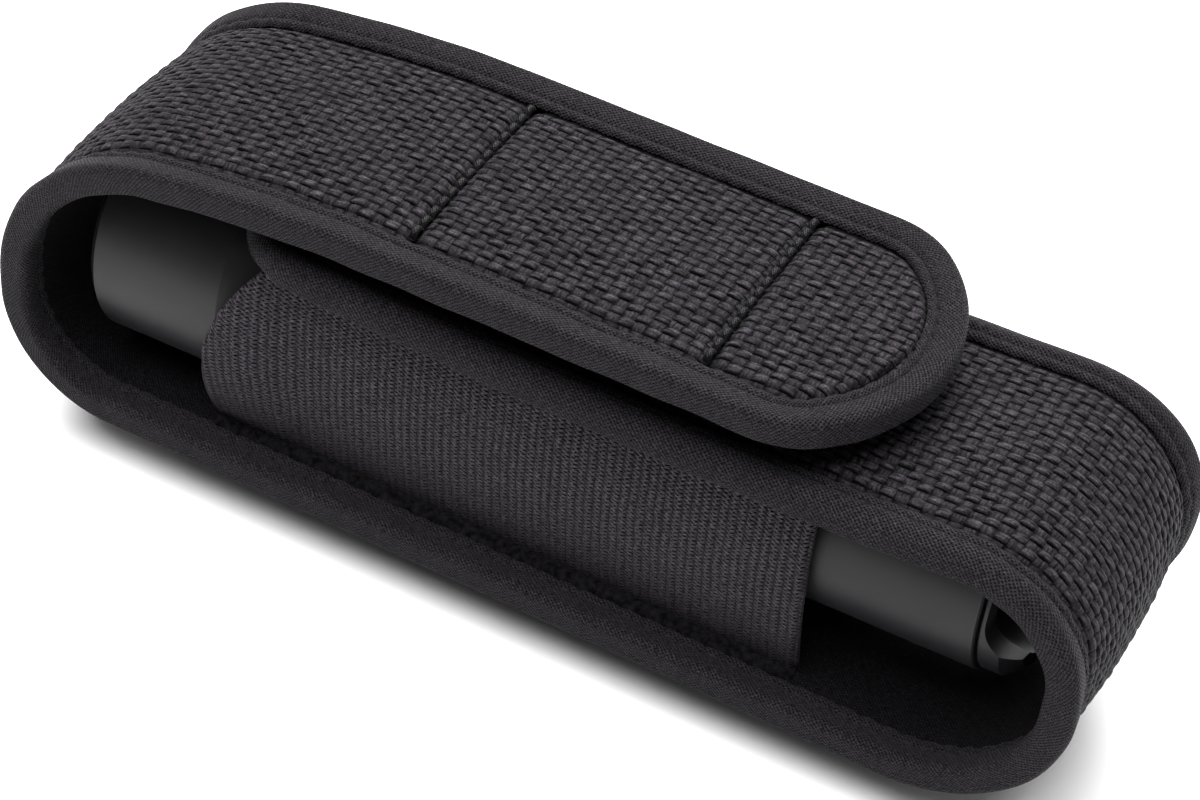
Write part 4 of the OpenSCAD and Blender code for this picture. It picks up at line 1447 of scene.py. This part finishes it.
@dataclass
class BeltLoop:
    """Webbing sewn to the back at both ends, with room for a belt between."""

    half_w: float = 12.5 * MM
    thick: float = 1.6 * MM
    slot_half: float = 29 * MM
    ramp: float = 5 * MM
    rib: float = 1.5 * MM
    rib_h: float = 0.07 * MM

    def build(self) -> None:
        """Sweeps the webbing along its line and rides it on the holster."""
        low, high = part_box("belt_loop")
        top, bottom = high.z - self.thick / 2, low.z + self.thick / 2
        a, b = self.slot_half + 0.4 * self.thick, self.slot_half + self.ramp + 0.6 * self.thick
        right = [(a, bottom), (b, top), (high.x, top)]
        line = np.array([(-x, z) for x, z in reversed(right)] + right)
        for _ in range(3):
            cut = np.stack([0.75 * line[:-1] + 0.25 * line[1:], 0.25 * line[:-1] + 0.75 * line[1:]], axis=1)
            line = np.concatenate([line[:1], cut.reshape(-1, 2), line[-1:]])
        length = lengths_along(line)
        run = np.linspace(0.0, length[-1], 340)
        x, z = (np.interp(run, length, column) for column in line.T)
        slope = stacked(np.gradient(x), np.gradient(z))
        slope /= np.linalg.norm(slope, axis=1, keepdims=True)
        across = np.linspace(-1.0, 1.0, 61)
        y = self.half_w * across
        half = 0.5 * self.thick * np.clip(1 - np.abs(across) ** 14, 0.0, 1.0) ** 0.5
        chevron = np.abs(y)[None] * 0.8 + run[:, None]
        ridge = self.rib_h * (np.abs(np.cos(math.pi * chevron / self.rib)) - 1)
        sheets = []
        for way in (1.0, -1.0):
            h = way * (half[None] + ridge * (half[None] > 0.2 * MM))
            sheets.append(stacked(x[:, None] - h * slope[:, 1:], y[None], z[:, None] + h * slope[:, :1]))
        piece = two_sided("belt_loop_webbing", *sheets, stacked(run[:, None], y[None]) / MM)
        StretchOnHinge("holster").carry(piece, WEBBING, "webbing", "belt_loop")


@dataclass
class Flashlight:
    """The turned light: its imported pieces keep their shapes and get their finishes."""

    bevel: float = 0.18 * MM
    bevel_angle: float = math.radians(30)

    DRESS = {
        Solid("anodised_aluminium", (0.0095, 0.0088, 0.0103), 0.42, gloss=0.28, grain=0.12, depth=0.012): (
            "head_shell", "body_tube", "tail_cap"
        ),
        Solid("dark_bezel", (0.009, 0.0084, 0.0098), 0.4, gloss=0.28, grain=0.15, depth=0.012): ("bezel_ring",),
        Glass("lens_glass", (0.96, 0.98, 0.99), 0.02): ("front_lens",),
        Solid("seal_rubber", (0.012, 0.012, 0.012), 0.6, grain=0.4, depth=0.03): (
            "lens_gasket", "head_o_ring", "tail_o_ring"
        ),
        Solid("reflector_metal", (0.86, 0.86, 0.87), 0.12, metallic=1.0, grain=0.9, depth=0.06): ("reflector",),
        Solid("white_board", (0.78, 0.79, 0.78), 0.45, grain=0.3, coat=0.2): ("led_board",),
        Solid("green_board", (0.015, 0.12, 0.04), 0.4, grain=0.3, coat=0.3): ("driver_board",),
        Solid("phosphor", (0.85, 0.62, 0.08), 0.3, grain=0.2, coat=0.5): ("led_emitter",),
        Solid("contact_brass", (0.72, 0.5, 0.16), 0.28, metallic=1.0, grain=0.2): (
            "driver_contact", "switch_retainer"
        ),
        Solid("cell_wrap", (0.05, 0.075, 0.12), 0.3, grain=0.5, coat=0.3): ("battery_cell",),
        Solid("spring_steel", (0.62, 0.62, 0.63), 0.25, metallic=1.0, grain=0.2): ("tail_spring",),
        Solid("switch_plastic", (0.02, 0.021, 0.023), 0.5, grain=0.3): ("switch_module",),
        Solid("plunger_plastic", (0.7, 0.66, 0.55), 0.45, grain=0.3): ("switch_plunger",),
        Solid("boot_rubber", (0.014, 0.014, 0.0145), 0.68, grain=0.3, depth=0.05): ("switch_boot",),
    }
    TURNED = ("head_shell", "bezel_ring", "tail_cap", "body_tube")

    def build(self) -> None:
        """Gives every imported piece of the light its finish, and softens the turned edges that show."""
        for finish, names in self.DRESS.items():
            for name in names:
                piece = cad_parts[name]
                piece.data.materials.clear()
                piece.data.materials.append(finish.material())
                LOG.info("%s: %s", name, finish.name)
        for name in self.TURNED:
            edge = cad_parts[name].modifiers.new("soft_edges", "BEVEL")
            edge.width = self.bevel
            edge.segments = 2
            edge.limit_method = "ANGLE"
            edge.angle_limit = self.bevel_angle
            edge.harden_normals = True


@dataclass
class Studio:
    """Pale floor, soft lights and the camera at the photograph's angle."""

    eye: tuple[float, float, float] = (117.93 * MM, -246.75 * MM, 285.89 * MM)
    ahead: tuple[float, float, float] = (-0.3064, 0.6540, -0.6917)
    right: tuple[float, float, float] = (0.8748, 0.4800, 0.0664)
    lens: float = 96.85
    floor_half: float = 3.0
    floor_tone: float = 0.9
    sky: tuple[float, float] = (0.12, 0.5)
    aim: tuple[float, float, float] = (0, 0, 25 * MM)

    # Each light's place, width and power in watts.
    LIGHTS = {
        "top_light": ((-0.1, -0.25, 1.7), 1.6, 68.0),
        "back_light": ((-0.35, 1.3, 1.3), 0.9, 34.0),
    }

    def build(self) -> None:
        """Builds all three."""
        self.add_camera()
        self.add_floor()
        self.add_lights()

    def add_camera(self) -> None:
        """Sets the camera where the photograph was taken from."""
        data = bpy.data.cameras.new("camera")
        data.sensor_width = 36.0
        data.sensor_fit = "HORIZONTAL"
        data.lens = self.lens
        data.clip_start = 0.01
        ahead, right = Vector(self.ahead).normalized(), Vector(self.right).normalized()
        up = right.cross(ahead)
        turn = Matrix((right, up, -ahead)).transposed().to_4x4()
        camera = bpy.data.objects.new("camera", data)
        camera.matrix_world = Matrix.Translation(self.eye) @ turn
        bpy.context.scene.collection.objects.link(camera)
        bpy.context.scene.camera = camera

    def add_floor(self) -> None:
        """Lays a large pale floor under the part."""
        mesh = bpy.data.meshes.new("floor")
        h = self.floor_half
        mesh.from_pydata([(-h, -h, 0), (h, -h, 0), (h, h, 0), (-h, h, 0)], [], [(0, 1, 2, 3)])
        material = bpy.data.materials.new("pale_floor")
        material.use_nodes = True
        shader = material.node_tree.nodes["Principled BSDF"]
        shader.inputs["Base Color"].default_value = (*[self.floor_tone] * 3, 1.0)
        shader.inputs["Roughness"].default_value = 0.9
        mesh.materials.append(material)
        floor = bpy.data.objects.new("floor", mesh)
        bpy.context.scene.collection.objects.link(floor)

    def add_lights(self) -> None:
        """Hangs soft lights in a room that is pale at the back and dark at the front."""
        world = bpy.data.worlds.new("studio")
        world.use_nodes = True
        tree = Tree(world.node_tree)
        way = tree.add("SeparateXYZ")
        tree.feed(way.inputs[0], tree.add("TexCoord").outputs["Generated"])
        room = tree.add("Background")
        tree.feed(room.inputs["Strength"], tree.spread(way.outputs[1], -0.5, 0.5, self.sky))
        tree.feed(tree.add("OutputWorld").inputs[0], room.outputs[0])
        bpy.context.scene.world = world
        for name, settings in self.LIGHTS.items():
            self.soft_light(name, *settings)
        bpy.context.scene.view_settings.view_transform = "Standard"

    def soft_light(self, name: str, at: tuple[float, float, float], size: float, power: float) -> None:
        """Hangs one square light that faces the part.

        Args:
            name: The light's name.
            at: Its place.
            size: Its width.
            power: Its power in watts.
        """
        data = bpy.data.lights.new(name, "AREA")
        data.size = size
        data.energy = power
        light = bpy.data.objects.new(name, data)
        light.location = at
        light.rotation_euler = (Vector(self.aim) - Vector(at)).to_track_quat("-Z", "Y").to_euler()
        bpy.context.scene.collection.objects.link(light)


def main() -> None:
    """Builds the studio, then the holster and the light."""
    logging.basicConfig(level=logging.INFO, format="%(message)s")
    Studio().build()
    path = StripPath(HolsterSizes.from_frame())
    Strip(path).build()
    Closure(path).build()
    for side in (-1, 1):
        ElasticSide(path, side).build()
    BeltLoop().build()
    Flashlight().build()


if __name__ == "__main__":
    main()
